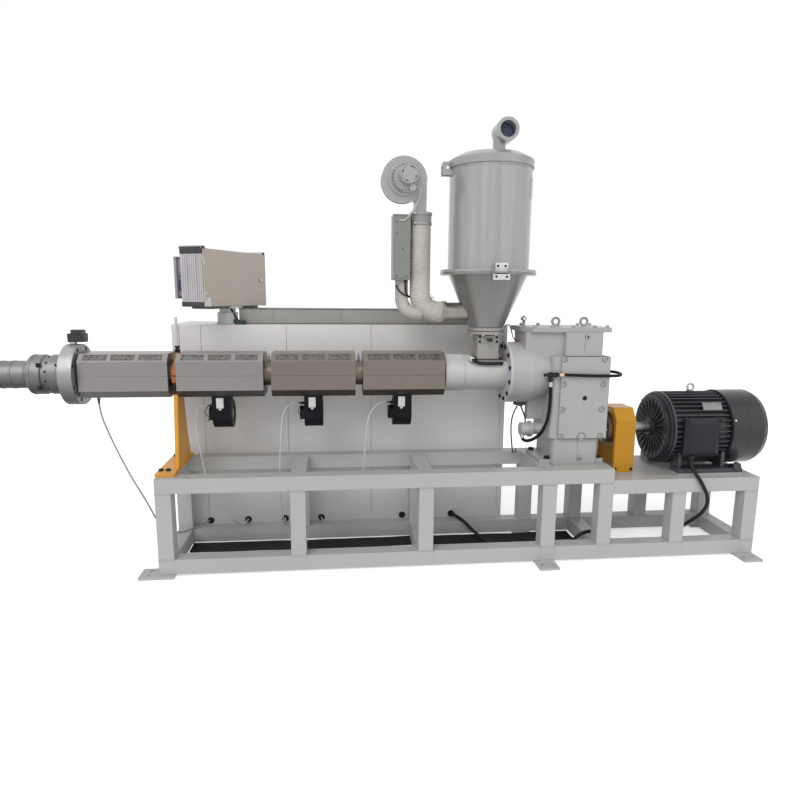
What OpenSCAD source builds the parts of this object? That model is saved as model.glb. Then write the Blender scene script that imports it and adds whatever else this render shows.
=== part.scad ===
// Single-screw plastic extruder with hopper dryer, gearbox, motor and control cabinet.
// X runs along the machine from the melt outlet to the motor, Y from the open side
// to the cabinet, Z up from the floor.

/* [Base frame] */
// Length of the high section that carries barrel and gearbox
main_l = 2442; // [2350:1:2600]
// Length of the low section that carries the motor
low_l = 858; // [820:1:1000]
// Depth of the frame over the tubes
frame_d = 500; // [480:1:560]
// Side of the square tube
tube = 80; // [60:5:90]
// Height of the high section above the floor
main_h = 530; // [500:5:600]
// Height of the motor section above the floor
low_h = 466; // [440:2:480]
// Distance between the first four posts
bay = 680; // [640:5:700]
// Distance from the gearbox end post to the post in the motor section
low_bay = 428; // [400:2:450]
// Thickness of the foot plates
foot_t = 14; // [10:1:20]
// Width of a foot plate
foot_w = 110; // [90:5:130]
// How far the foot plates stand out from the tubes
foot_reach = 100; // [80:5:120]
// Diameter of the anchor bolt holes
foot_hole_d = 18; // [14:1:22]
// Thickness of the plates under gearbox and motor
plate_t = 20; // [12:1:25]

/* [Barrel] */
// Height of the screw axis above the floor
axis_h = 1035; // [1000:5:1060]
// Distance of the screw axis from the open side of the frame
axis_y = 270; // [260:1:290]
// Outer diameter of the barrel
barrel_d = 132; // [120:1:150]
// Diameter of the screw bore
screw_d = 75; // [60:1:80]
// Front end of the barrel, in front of the frame's end
barrel_front = 400; // [380:5:420]
// Outer diameter of the head flange ring
head_d = 320; // [290:2:330]
// Thickness of the head flange ring
head_t = 68; // [50:1:80]
// Diameter of the clamped adapter
adapter_d = 208; // [180:2:214]
// Length of the clamped adapter
adapter_l = 182; // [160:1:190]
// Diameter of the outlet neck
neck_d = 145; // [130:1:150]
// Length of the outlet neck
neck_l = 173; // [150:1:220]
// Diameter of the melt outlet
outlet_d = 60; // [40:1:70]

/* [Heater zones] */
// Length of one heater cover
cover_l = 445; // [430:1:450]
// Distance from one heater cover to the next
zone_pitch = 486; // [480:1:495]
// Height and depth of a heater cover
cover_w = 230; // [215:1:235]
// Size of the chamfers on the heater covers
cover_chamfer = 38; // [30:1:45]
// Width of one vent field in the cover
vent_w = 118; // [90:1:125]
// Width of a blower under a zone
fan_w = 100; // [80:1:110]
// Diameter of a blower housing
fan_d = 150; // [130:1:160]

/* [Barrel support] */
// Thickness of the support plates
support_t = 20; // [12:1:24]
// Width of the support's foot plate along the machine
support_w = 100; // [90:1:110]
// Outer diameter of the clamp ring round the barrel
ring_d = 178; // [170:1:190]

// Width of the support's web at its foot
web_foot = 277; // [250:1:300]
// Width of the support's web where it meets the clamp
web_neck = 134; // [120:1:150]

/* [Feed section] */
// Diameter of the feed casting
feed_d = 206; // [196:1:210]
// Start of the feed casting, from the frame's end
feed_x = 1523; // [1520:1:1526]
// Length of the thick collar of the feed casting
feed_collar = 104; // [90:1:120]
// Start of the bolted flange, from the frame's end
flange_x = 1866; // [1864:1:1870]
// Thickness of the bolted flange
flange_t = 16; // [12:1:24]
// Diameter of the bolted flange and the thrust housing
thrust_d = 342; // [330:1:360]

/* [Gearbox] */
// Left face of the gearbox body, from the frame's end
gear_x = 2101; // [2095:1:2105]
// Length of the gearbox body
gear_l = 324; // [310:1:335]
// Depth of the gearbox body
gear_d = 300; // [280:2:310]
// Underside of the main gearbox body
gear_z = 678; // [670:1:686]
// Top of the main gearbox body
gear_top = 1137; // [1130:1:1145]
// Underside of the gearbox lid
lid_z = 1268; // [1260:1:1280]
// Thickness of the gearbox lid
lid_t = 25; // [18:1:30]
// Thickness of the front cover plate
cover_t = 14; // [10:1:20]

/* [Drive] */
// Shaft height of the motor above its feet
motor_h = 225; // [200:1:230]
// Thickness of the packing under the motor's feet
motor_pad = 13; // [6:1:16]
// Diameter of the motor over the fins
motor_d = 422; // [410:2:430]
// Diameter of the fan cowl
cowl_d = 436; // [426:2:446]
// Face of the motor's end shield, from the frame's end
motor_x = 2769; // [2760:1:2780]
// Length of the motor housing with its fan cowl
motor_l = 610; // [600:1:620]
// Length of the fan cowl
cowl_l = 225; // [200:1:230]
// Depth of a cooling fin
fin_h = 26; // [18:1:30]
// Number of cooling fins round the housing
fin_n = 44; // [32:4:52]
// Diameter of the motor shaft
shaft_d = 60; // [48:1:65]
// Outer diameter of the coupling
coupling_d = 176; // [150:2:190]
// Width of the coupling guard along the machine
guard_w = 118; // [110:1:124]
// Depth of the coupling guard
guard_d = 240; // [236:2:250]
// Top of the coupling guard above the floor
guard_top = 834; // [820:1:840]

/* [Cabinet] */
// Length of the cabinet
cabinet_l = 1950; // [1900:5:1980]
// Depth of the cabinet
cabinet_d = 450; // [400:5:500]
// Height of the cabinet's top above the floor
cabinet_h = 1284; // [1270:1:1300]
// Height of the plinth
plinth_h = 80; // [60:5:100]
// Diameter of the cable holes
cable_hole_d = 30; // [20:1:36]
// Height of the cable holes above the floor
cable_hole_h = 116; // [108:1:140]
// Height of the cable duct on the cabinet
duct_h = 92; // [80:1:92]

/* [Operator panel] */
// Long side of the panel housing
panel_l = 593; // [560:1:600]
// Thickness of the panel housing
panel_t = 147; // [130:1:160]
// Height of the panel housing
panel_h = 308; // [290:1:320]
// Angle of the panel to the machine
panel_turn = 63.4; // [45:0.1:75]

/* [Hopper dryer] */
// Centre of the hopper, from the frame's end
hopper_x = 1760; // [1757:1:1763]
// Outer diameter of the hopper barrel
hopper_d = 440; // [430:2:450]
// Height of the hopper barrel
hopper_h = 534; // [500:2:560]
// Height of the joint between barrel and cone
joint_h = 1583; // [1575:1:1590]
// Diameter of the joint's flanges
joint_d = 522; // [514:2:528]
// Thickness of one joint flange
joint_t = 14; // [10:1:16]
// Lower end of the cone
cone_h = 1287; // [1283:1:1290]
// Diameter of the cone's lower end
cone_d = 190; // [170:2:200]
// Wall of the hopper
wall = 3; // [2:0.5:4]
// Centre of the blower scroll, from the frame's end
blower_x = 1287; // [1285:1:1289]
// Height of the blower's shaft
blower_h = 2053; // [2045:1:2060]
// Diameter of the blower scroll
blower_d = 242; // [236:2:246]
// Diameter of the hinge pins on the hopper
pin_d = 14; // [8:1:16]
// Diameter of the lagged hot air pipe
pipe_d = 110; // [100:1:112]

// Diameter of the lagged pipe below the heater box
return_d = 70; // [60:1:76]

/* [Hoses and leads] */
// Diameter of the oil hose across the gearbox
hose_d = 17; // [12:1:18]
// Diameter of the oil hose down to the pump
suction_d = 19; // [14:1:20]
// Diameter of a fan lead
fan_lead_d = 8; // [6:1:9]
// Diameter of the braided head lead
head_lead_d = 9; // [7:1:10]
// Diameter of the motor cable
motor_cable_d = 20; // [16:1:22]

/* [Hidden] */
$fn = 64;

run = 0.3;                                   // gap between pieces that move past each other
total_l = main_l + low_l;
post_x = [0, bay, 2 * bay, 3 * bay, main_l - tube, main_l - tube + low_bay, total_l - tube];
main_posts = 5;
rear_y = frame_d - tube;
head_x = -barrel_front;                      // barrel end, where the head flange starts
outlet_x = head_x - head_t - adapter_l - neck_l;
motor_z = low_h + motor_pad + motor_h;       // height of the motor axis
motor_end = motor_x + motor_l;
box_x = motor_x + 87;                        // terminal box on the motor's open side
box_y = 20;
box_l = 200;
box_t = 60;
cabinet_y = frame_d;                         // the cabinet's front lies against the frame
cover_x = head_x + 12;                       // start of the first heater cover
zones = 4;
ring_w = 24;                                 // clamp ring, just before the second cover
ring_x = cover_x + zone_pitch - ring_w - 1;
hopper_y = axis_y;
barrel_z = joint_h + joint_t;                // underside of the hopper barrel's wall
barrel_top = barrel_z + hopper_h;
tilt_y = hopper_y - joint_d / 2 - 14;        // hinge between barrel and cone
lid_hinge_x = hopper_x - hopper_d / 2 - 36;
lid_hinge_z = barrel_top + 12;
lid_top = barrel_top + 82;
spout_dx = 40;                               // exhaust pipe, right of the lid's centre
motor_foot_x = motor_x + 73;
motor_foot_l = 384;
motor_foot_y = 218;                          // outer edge of the motor's feet, from the axis
motor_foot_w = 90;
stand_x = 298;
stand_y = cabinet_y + 100;
panel_z = cabinet_h + 105;
pipe_x = 1384;
duct_z = 1372;
pump_z = 712;
seat_z = axis_h + 66;                        // seat of the hopper on the feed casting
cable_holes = [169, 390, 610, 828, 1323, 1631];
fan_x = [for (i = [1:zones - 1]) cover_x + i * zone_pitch + 168];
// Routes of the leads, from their glands to the cable holes
fan_routes = [
    [[fan_x[0] - 12, 250, 860], [232, 250, 863], [208, 250, 862], [188, 250, 853], [174, 250, 834],
     [168, 250, 800], [168, 250, 750], [172, 252, 690], [180, 254, 615], [190, 257, 545],
     [201, 262, 479], [214, 272, 420], [232, 292, 350], [256, 322, 280], [285, 355, 215],
     [318, 392, 158], [348, 426, 122], [372, 458, 110], [386, 484, 114], [390, 506, 116],
     [390, 528, 116]],
    [[fan_x[1] - 12, 250, 872], [716, 250, 875], [690, 250, 872], [664, 250, 859], [646, 250, 838],
     [634, 250, 808], [627, 250, 770], [622, 250, 725], [617, 251, 665], [612, 252, 600],
     [609, 254, 540], [608, 258, 480], [607, 268, 420], [606, 288, 350], [606, 316, 280],
     [607, 350, 215], [608, 388, 158], [609, 424, 122], [610, 458, 110], [610, 484, 114],
     [610, 506, 116], [610, 528, 116]],
    [[fan_x[2] - 12, 250, 872], [1202, 250, 875], [1176, 250, 871], [1150, 250, 857],
     [1128, 250, 836], [1112, 250, 808], [1101, 250, 772], [1094, 250, 732], [1089, 250, 685],
     [1085, 251, 635], [1081, 252, 580], [1077, 254, 525], [1072, 258, 476], [1058, 268, 420],
     [1030, 288, 355], [988, 316, 288], [938, 350, 225], [890, 388, 168], [856, 426, 124],
     [838, 458, 110], [830, 484, 114], [828, 506, 116], [828, 528, 116]]
];
head_route = [
    [-335, 270, 904], [-334, 270, 870], [-330, 270, 830], [-320, 270, 785], [-303, 270, 731],
    [-279, 270, 665], [-253, 270, 598], [-226, 270, 534], [-196, 270, 465], [-163, 272, 397],
    [-134, 276, 335], [-110, 284, 275], [-90, 296, 218], [-66, 314, 165], [-34, 336, 124],
    [4, 358, 103], [44, 384, 100], [84, 414, 101], [118, 444, 105], [146, 474, 112],
    [163, 502, 116], [169, 528, 116]
];
motor_route = [
    [box_x + 49, 47, 563], [box_x + 49, 46, 548], [2906, 38, 530], [2910, 26, 513], [2914, 10, 498],
    [2920, -5, 481], [2936, -17, 454], [2958, -20, 415], [2977, -18, 380], [2990, -12, 342],
    [2996, 2, 300], [2991, 22, 262], [2978, 46, 225], [2955, 76, 186], [2924, 102, 145],
    [2884, 121, 100], [2836, 132, 56], [2780, 138, 24], [2716, 140, 11], [2640, 142, 11],
    [2566, 144, 22], [2508, 147, 62], [2462, 150, 100], [2402, 152, 112], [2342, 154, 100],
    [2296, 158, 62], [2238, 164, 22], [2160, 174, 11], [2060, 194, 11], [1960, 224, 11],
    [1872, 262, 12], [1798, 306, 24], [1740, 350, 58], [1698, 390, 96], [1668, 430, 111],
    [1648, 468, 115], [1635, 500, 116], [1631, 528, 116]
];
hose_y = 92;
hose_z = 1040;
hose_route = [
    [2128, hose_y, hose_z], [2160, hose_y, 1040], [2200, hose_y, 1038], [2240, hose_y, 1037],
    [2280, hose_y, 1035], [2320, hose_y, 1034], [2360, hose_y, 1033], [2400, hose_y, 1033],
    [2437, hose_y, 1033], [2463, 97, 1033], [2486, 111, 1034], [2501, 134, 1036], [2506, 160, 1038],
    [2501, 186, 1040], [2486, 209, 1041], [2463, 226, 1042], [2441, 228, 1042]
];
suction_route = [
    [2092, 112, 1000], [2092.2, 112, 965], [2094, 112, 930], [2094, 112, 895], [2093, 113, 860],
    [2090, 114, 825], [2086, 118, 790], [2079, 124, 757], [2068, 134, 724], [2053, 147, 695],
    [2034, 163, 672], [2013, 181, 656], [1995, 196, 650], [1982, 207, 655], [1977.5, 211.5, 666],
    [1977, 212, 675.3]
];
// The origin is the middle of the machine's outline on the floor
mid_x = (outlet_x + motor_end) / 2;
mid_y = (cabinet_y + cabinet_d - foot_reach) / 2;

module place() { translate([-mid_x, -mid_y, 0]) children(); }
module along_x(x, y, z) { translate([x, y, z]) rotate([0, 90, 0]) children(); }
module along_y(x, y, z) { translate([x, y, z]) rotate([-90, 0, 0]) children(); }
// Smooth curve through a route's points, with a number of steps from point to point
function curve(p, steps) = let (n = len(p) - 1) [for (k = [0:n * steps]) let (
    i = min(floor(k / steps), n - 1), t = k / steps - i,
    a = p[max(i - 1, 0)], b = p[i], c = p[i + 1], d = p[min(i + 2, n)])
    b + 0.5 * t * (c - a + t * (2 * a - 5 * b + 4 * c - d + t * (3 * b - a - 3 * c + d)))];
function unit(v) = v / norm(v);
function across(v, t) = unit(v - (v * t) * t);
// Tube along a curve: each ring is turned as little as possible from the one before
module tube_along(p, d, sides = 8, steps = 2) {
    q = curve(p, steps);
    n = len(q) - 1;
    way = [for (i = [0:n]) unit(q[min(i + 1, n)] - q[max(i - 1, 0)])];
    side = [for (i = 0, v = across([0.1, 0.3, 1], way[0]); i <= n; i = i + 1,
        v = i <= n ? across(v, way[i]) : v) v];
    rings = [for (i = [0:n], k = [0:sides - 1]) let (a = k * 360 / sides)
        q[i] + d / 2 * (cos(a) * side[i] + sin(a) * cross(way[i], side[i]))];
    walls = [for (i = [0:n - 1], k = [0:sides - 1]) let (a = i * sides + k,
        b = i * sides + (k + 1) % sides)
        [a, a + sides, b + sides, b]];
    ends = [[for (k = [0:sides - 1]) k], [for (k = [sides - 1:-1:0]) n * sides + k]];
    polyhedron(rings, concat(walls, ends));
}
// A box between two corners
module span(a, b) { translate(a) cube(b - a); }

module frame_posts() {
    color("gainsboro") place()
    for (i = [0:len(post_x) - 1], y = [0, rear_y])
        span([post_x[i], y, foot_t],
            [post_x[i] + tube, y + tube, (i < main_posts ? main_h : low_h) - tube]);
}

module main_top_rails() {
    color("gainsboro") place()
    for (y = [0, rear_y]) span([0, y, main_h - tube], [main_l, y + tube, main_h]);
}

module lower_rails() {
    color("gainsboro") place() for (y = [0, rear_y]) {
        for (i = [0:len(post_x) - 2])
            span([post_x[i] + tube, y, foot_t], [post_x[i + 1], y + tube, foot_t + tube]);
        span([main_l, y, low_h - tube], [total_l, y + tube, low_h]);
    }
}

module cross_rails() {
    color("gainsboro") place() {
        for (i = [0:3]) span([post_x[i], tube, main_h - tube], [post_x[i] + tube, rear_y, main_h]);
        span([post_x[4], tube, main_h - tube], [post_x[4] + tube, rear_y, main_h - plate_t]);
        for (i = [5, 6]) span([post_x[i], tube, low_h - tube],
            [post_x[i] + tube, rear_y, low_h - plate_t]);
        for (i = [0, 2, 4, 6]) span([post_x[i], tube, foot_t], [post_x[i] + tube, rear_y, foot_t + tube]);
    }
}

// Foot plate with two anchor holes, its long side away from the post
module foot_plate(w) {
    difference() {
        cube([w, tube + foot_reach, foot_t]);
        for (dx = [-0.25, 0.25])
            translate([w / 2 + dx * foot_w, foot_reach / 2, -1])
                cylinder(d = foot_hole_d, h = foot_t + 2);
    }
}

module foot_plates() {
    color("gainsboro") place() for (back = [0, 1]) translate([0, back * frame_d, 0])
        mirror([0, back, 0]) {
        translate([-foot_reach, tube, 0]) rotate([0, 0, -90]) foot_plate(foot_w);
        for (i = [3, 6]) translate([post_x[i] + tube - foot_w, -foot_reach, 0]) foot_plate(foot_w);
    }
}

// Plates that carry gearbox and motor, with the packing under the motor's feet
module machine_plates() {
    slot = 6;
    color("silver") place() {
        span([post_x[3] + tube + slot, tube, main_h - plate_t], [main_l, rear_y, main_h]);
        span([main_l, tube, low_h - plate_t], [total_l, rear_y, low_h]);
        for (side = [-1, 1]) translate([motor_foot_x,
            axis_y + side * (motor_foot_y - motor_foot_w / 2), low_h])
            translate([0, -motor_foot_w / 2, 0]) cube([motor_foot_l, motor_foot_w, motor_pad]);
    }
}

// Foot plate and tapered web, cut to the clamp ring
module barrel_support() {
    web_x = ring_x + ring_w / 2 - support_t / 2;
    plate_top = main_h + support_t * 0.8;
    z0 = plate_top - axis_h;
    neck_z = -113;
    front = -web_foot / 2 + 4;
    color("orange") place() difference() {
        union() {
            span([web_x + support_t - support_w, axis_y - 230, main_h],
                [web_x + support_t, axis_y + 200, plate_top]);
            along_x(web_x, axis_y, axis_h) rotate([0, 0, 90]) linear_extrude(support_t) polygon([
                [front, z0], [-web_neck * 0.65, neck_z], [-ring_d / 3, -40], [ring_d / 3, -40],
                [web_neck * 0.35, neck_z - 23], [web_neck * 0.6, z0 / 2 - 80], [front + web_foot, z0]
            ]);
        }
        along_x(web_x - 1, axis_y, axis_h) cylinder(d = ring_d + 2 * run, h = support_t + 2);
        for (x = [14, 50], side = [-1, 1]) translate([x - 3, axis_y - 15 + side * 150, main_h - 1])
            cylinder(d = 14, h = 40);
    }
}

// Split ring round the barrel with its bolted ears
module support_clamp() {
    ear = ring_d / 2;
    color("darkorange") place() difference() {
        union() {
            along_x(ring_x, axis_y, axis_h) cylinder(d = ring_d, h = ring_w);
            for (side = [-1, 1]) span([ring_x, axis_y + side * ear - 9, axis_h - 34],
                [ring_x + ring_w, axis_y + side * ear + 9, axis_h + 34]);
            span([ring_x, axis_y - 20, axis_h + ear - 6],
                [ring_x + ring_w, axis_y + 20, axis_h + ear + 26]);
        }
        along_x(ring_x - 1, axis_y, axis_h) cylinder(d = barrel_d + 2 * run, h = ring_w + 2);
        for (side = [-1, 1]) span([ring_x - 1, axis_y + side * ear - 10, axis_h - 2],
            [ring_x + ring_w + 1, axis_y + side * ear + 10, axis_h + 2]);
    }
}

module barrel() {
    color("silver") place() difference() {
        along_x(head_x, axis_y, axis_h) cylinder(d = barrel_d, h = feed_x - head_x);
        along_x(head_x - 1, axis_y, axis_h) cylinder(d = screw_d, h = feed_x - head_x + 2);
    }
}

module head_flange() {
    bolt_circle = head_d - 44;
    color("silver") place() difference() {
        along_x(head_x - head_t, axis_y, axis_h) cylinder(d = head_d, h = head_t);
        along_x(head_x - head_t - 1, axis_y, axis_h) cylinder(d = screw_d, h = head_t + 2);
        for (a = [22.5:45:337.5]) along_x(head_x - 14, axis_y, axis_h) rotate(a)
            translate([bolt_circle / 2, 0, 0]) cylinder(d = 24, h = 20, $fn = 32);
    }
}

// Clamped adapter and outlet neck, turned in one piece with a clamp groove
module head_adapter() {
    end_x = head_x - head_t;
    color("silver") place() along_x(outlet_x, axis_y, axis_h) rotate_extrude() polygon([
        [outlet_d / 2, 0], [neck_d / 2, 0], [neck_d / 2, neck_l],
        [adapter_d / 2 - 6, neck_l], [adapter_d / 2, neck_l + 6],
        [adapter_d / 2, neck_l + adapter_l - 112],
        [adapter_d / 2 - 8, neck_l + adapter_l - 108], [adapter_d / 2 - 8, neck_l + adapter_l - 80],
        [adapter_d / 2, neck_l + adapter_l - 76], [adapter_d / 2, end_x - outlet_x],
        [screw_d / 2, end_x - outlet_x], [screw_d / 2, neck_l], [outlet_d / 2, neck_l - 20]
    ]);
}

// Sensor with its square plug head, screwed into the head flange
module melt_sensor() {
    stem_x = head_x - head_t / 2 - 6;
    foot = axis_h + head_d / 2;
    box_z = axis_h + 170;
    color("dimgray") place() {
        translate([stem_x, axis_y, foot]) cylinder(d = 24, h = box_z - foot + 2);
        span([stem_x - 18, axis_y - 26, box_z], [stem_x + 66, axis_y + 26, box_z + 44]);
        span([stem_x - 2, axis_y - 20, box_z + 40], [stem_x + 58, axis_y + 20, box_z + 63]);
    }
}

// Cross section of a heater cover, eight-sided
module cover_outline(w, c) {
    h = w / 2;
    polygon([[-h, -h + c], [-h, h - c], [-h + c, h], [h - c, h], [h, h - c], [h, -h + c], [h - c, -h],
        [-h + c, -h]]);
}

// Eight-sided sheet covers with vent fields in their upper chamfers and a seam along each side
module heater_covers() {
    slope = sqrt(2) * cover_chamfer;
    seam = 2;
    color("lightgray") place() for (i = [0:zones - 1]) {
        x = cover_x + i * zone_pitch;
        difference() {
            along_x(x, axis_y, axis_h) linear_extrude(cover_l) cover_outline(cover_w, cover_chamfer);
            along_x(x - 1, axis_y, axis_h) cylinder(d = barrel_d + 2 * run, h = cover_l + 2);
            for (side = [-1, 1]) {
                for (k = [-1, 0, 1]) translate([x + cover_l / 2 + k * (vent_w + 20),
                    axis_y + side * (cover_w - cover_chamfer) / 2,
                    axis_h + (cover_w - cover_chamfer) / 2]) rotate([-side * 45, 0, 0])
                    translate([-vent_w / 2, -slope / 2 + 8, -3]) cube([vent_w, slope - 16, 20]);
                translate([x - 1, axis_y + side * cover_w / 2 - seam, axis_h - seam / 2])
                    cube([cover_l + 2, 2 * seam, seam]);
            }
        }
    }
    color("dimgray") place() translate([head_route[0].x, head_route[0].y, head_route[0].z])
        cylinder(d = 20, h = axis_h - cover_w / 2 - head_route[0].z);
}

// Drum-shaped blower with its outlet pushed up into the zone and a gland for its lead
module cooling_blower(i) {
    x = fan_x[i];
    top = axis_h - cover_w / 2;
    z = top - fan_d / 2 - 30;
    lead = fan_routes[i][0];
    difference() {
        union() {
            along_x(x, axis_y, z) cylinder(d = fan_d, h = fan_w);
            span([x, axis_y - fan_d / 2, z], [x + fan_w, axis_y, top]);
            along_x(x - 26, axis_y, z) cylinder(d = fan_d * 0.5, h = 26);
            along_x(lead.x, lead.y, lead.z) cylinder(d = 2 * fan_lead_d, h = x - lead.x);
        }
        along_x(x + fan_w - 6, axis_y, z) cylinder(d = fan_d * 0.5, h = 12);
        for (k = [0:3]) span([x + 14 + k * 21, axis_y - fan_d / 2 - 1, z + 6],
            [x + 22 + k * 21, axis_y - fan_d / 2 + 3, top - 28]);
    }
}

module cooling_blowers() {
    color("black") place() for (i = [0:len(fan_x) - 1]) cooling_blower(i);
}

// Feed casting with its seat for the hopper and the bolted flange on the thrust housing
module feed_casting() {
    len = flange_x + flange_t - feed_x;
    bolt_circle = thrust_d - 42;
    color("whitesmoke") place() difference() {
        union() {
            along_x(feed_x, axis_y, axis_h) cylinder(d = feed_d, h = feed_collar);
            along_x(feed_x, axis_y, axis_h) cylinder(d = feed_d - 8, h = len);
            along_x(flange_x, axis_y, axis_h) cylinder(d = thrust_d, h = flange_t);
            span([hopper_x - 75, axis_y - 80, axis_h], [hopper_x + 75, axis_y + 80, seat_z]);
        }
        span([hopper_x - 84, axis_y - 90, seat_z], [flange_x, axis_y + 90, seat_z + 60]);
        translate([hopper_x, axis_y, axis_h]) cylinder(d = 90, h = 100);
        along_x(feed_x - 1, axis_y, axis_h) cylinder(d = screw_d, h = len + 2);
        for (a = [15:30:345]) along_x(flange_x - 1, axis_y, axis_h) rotate(a)
            translate([bolt_circle / 2, 0, 0]) cylinder(d = 26, h = 9, $fn = 32);
    }
}

// Body with rounded upright edges
module rounded_block(a, b, r) {
    translate([a.x, a.y, a.z]) linear_extrude(b.z - a.z) union() {
        translate([r, 0]) square([b.x - a.x - 2 * r, b.y - a.y]);
        translate([0, r]) square([b.x - a.x, b.y - a.y - 2 * r]);
        for (x = [r, b.x - a.x - r], y = [r, b.y - a.y - r]) translate([x, y]) circle(r);
    }
}

// Casting: thrust housing, stepped body with rounded edges, oil sump and feet
module gearbox_housing() {
    y0 = axis_y - gear_d / 2;
    y1 = axis_y + gear_d / 2;
    x1 = gear_x + gear_l;
    thrust_x = flange_x + flange_t;
    cone_x = gear_x - 110;
    color("gainsboro") place() difference() {
        union() {
            along_x(thrust_x, axis_y, axis_h) cylinder(d = thrust_d, h = cone_x - thrust_x);
            along_x(cone_x, axis_y, axis_h)
                cylinder(d1 = thrust_d, d2 = gear_d - 44, h = gear_x + 30 - cone_x);
            rounded_block([gear_x, y0, gear_z], [x1, y1, gear_top], 26);
            rounded_block([gear_x - 145, y0 + 32, axis_h], [x1 - 30, y1 - 32, lid_z], 22);
            rounded_block([gear_x + 70, y0, gear_top - 20], [x1 - 40, y1, lid_z], 16);
            rounded_block([gear_x + 24, y0 + 4, main_h], [x1 - 30, y1 - 4, gear_z + 20], 30);
            span([gear_x - 90, axis_y - 24, pump_z + 54], [gear_x + 20, axis_y + 24, axis_h - 100]);
            difference() {
                span([gear_x - 40, y0 + 26, main_h], [x1 + 8, y1 - 26, main_h + 22]);
                for (x = [gear_x - 16, x1 - 12], side = [-1, 1])
                    translate([x, axis_y + side * (gear_d / 2 - 50), main_h - 1])
                        cylinder(d = 18, h = 30);
            }
        }
        along_x(x1 - 30, axis_y, motor_z) cylinder(d = shaft_d + 40, h = 40);
        along_y(x1 - 140, y0 - 1, lid_z - 62) cylinder(d = 18, h = 10);
        along_y(gear_x + 190, y0 + 3, main_h + 48) cylinder(d = 18, h = 10);
    }
}

// Front cover with open pockets for its bolts and the drain half circle
module gearbox_cover() {
    y0 = axis_y - gear_d / 2;
    x0 = gear_x + 48;
    x1 = gear_x + gear_l;
    rows = [gear_z + 12, gear_z + 165, gear_z + 306, gear_top - 14];
    color("gainsboro") place() difference() {
        span([x0, y0 - cover_t, gear_z + 2], [x1, y0, gear_top - 1]);
        for (x = [x0 + 14, x1 - 34], z = rows) {
            along_y(x, y0 - cover_t - 1, z) cylinder(d = 36, h = 7);
            along_y(x, y0 - cover_t - 1, z) cylinder(d = 17, h = 10);
        }
        along_y((x0 + x1) / 2 - 4, y0 - cover_t - 1, gear_z + 10) cylinder(d = 50, h = 8);
        along_y((x0 + x1) / 2 + 2, y0 - cover_t - 1, gear_z + 230) cylinder(d = 24, h = 6);
    }
}

// Lid with a cut corner, two lifting eyes and the breather
module gearbox_lid() {
    x0 = gear_x - 159;
    x1 = gear_x + gear_l + 4;
    y0 = axis_y - gear_d / 2 + 10;
    y1 = axis_y + gear_d / 2 - 10;
    top = lid_z + lid_t;
    color("gainsboro") place() {
        translate([0, 0, lid_z]) linear_extrude(lid_t)
            polygon([[x0, y1], [x0, y0 + 70], [x0 + 43, y0], [x1, y0], [x1, y1]]);
        for (x = [gear_x + 60, gear_x + 225]) {
            along_y(x, axis_y - 8, top + 28) rotate_extrude() translate([20, 8]) circle(7, $fn = 24);
            translate([x, axis_y, top]) cylinder(d = 22, h = 10);
        }
        translate([gear_x - 125, axis_y, top]) cylinder(d = 16, h = 58);
        translate([gear_x - 125, axis_y, top + 34]) cylinder(d = 34, h = 16);
    }
}

// Oil pump on the gearbox's end face, with its flange and the inlet of its hose
module oil_pump() {
    y = axis_y - 40;
    inlet = suction_route[len(suction_route) - 1];
    color("gainsboro") place() {
        along_x(gear_x - 133, y, pump_z) cylinder(d = 76, h = 60);
        along_x(gear_x - 84, y, pump_z) cylinder(d = 92, h = 14);
        along_x(gear_x - 76, y, pump_z) cylinder(d = 64, h = 76);
        translate(inlet) cylinder(d = suction_d + 5, h = 20);
    }
}

// Outline of the coupling guard seen along the machine
module guard_outline(t) {
    h = guard_d / 2 - t;
    top = guard_top - t;
    shoulder = guard_top - 66 - t / 2;
    polygon([[-h, low_h], [-h, shoulder], [-h + 52, top], [h - 52, top], [h, shoulder], [h, low_h]]);
}

// Bent sheet guard with an arched opening in both ends
module coupling_guard() {
    guard_x = 2503;
    sheet = 4;
    arch = coupling_d + 16;
    color("gold") place() difference() {
        translate([guard_x, axis_y, 0]) rotate([90, 0, 90]) linear_extrude(guard_w) guard_outline(0);
        translate([guard_x + sheet, axis_y, -1]) rotate([90, 0, 90])
            linear_extrude(guard_w - 2 * sheet) guard_outline(sheet);
        translate([guard_x - 1, axis_y, 0]) rotate([90, 0, 90]) linear_extrude(guard_w + 2) {
            translate([0, motor_z]) circle(d = arch);
            translate([-arch / 2, low_h - 1]) square([arch, motor_z - low_h + 1]);
        }
    }
}

module coupling() {
    color("saddlebrown") place() {
        difference() {
            union() {
                along_x(2478, axis_y, motor_z) cylinder(d = coupling_d, h = 58);
                along_x(2544, axis_y, motor_z) cylinder(d = coupling_d, h = 58);
                along_x(2530, axis_y, motor_z) cylinder(d = coupling_d - 24, h = 20);
            }
            along_x(2470, axis_y, motor_z) cylinder(d = shaft_d, h = 140);
        }
    }
}

module drive_shafts() {
    color("silver") place() {
        along_x(gear_x + gear_l - 28, axis_y, motor_z)
            cylinder(d = shaft_d, h = 2540 - gear_x - gear_l + 28);
        along_x(2541, axis_y, motor_z) cylinder(d = shaft_d, h = motor_end - 80 - 2541);
    }
}

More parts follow.
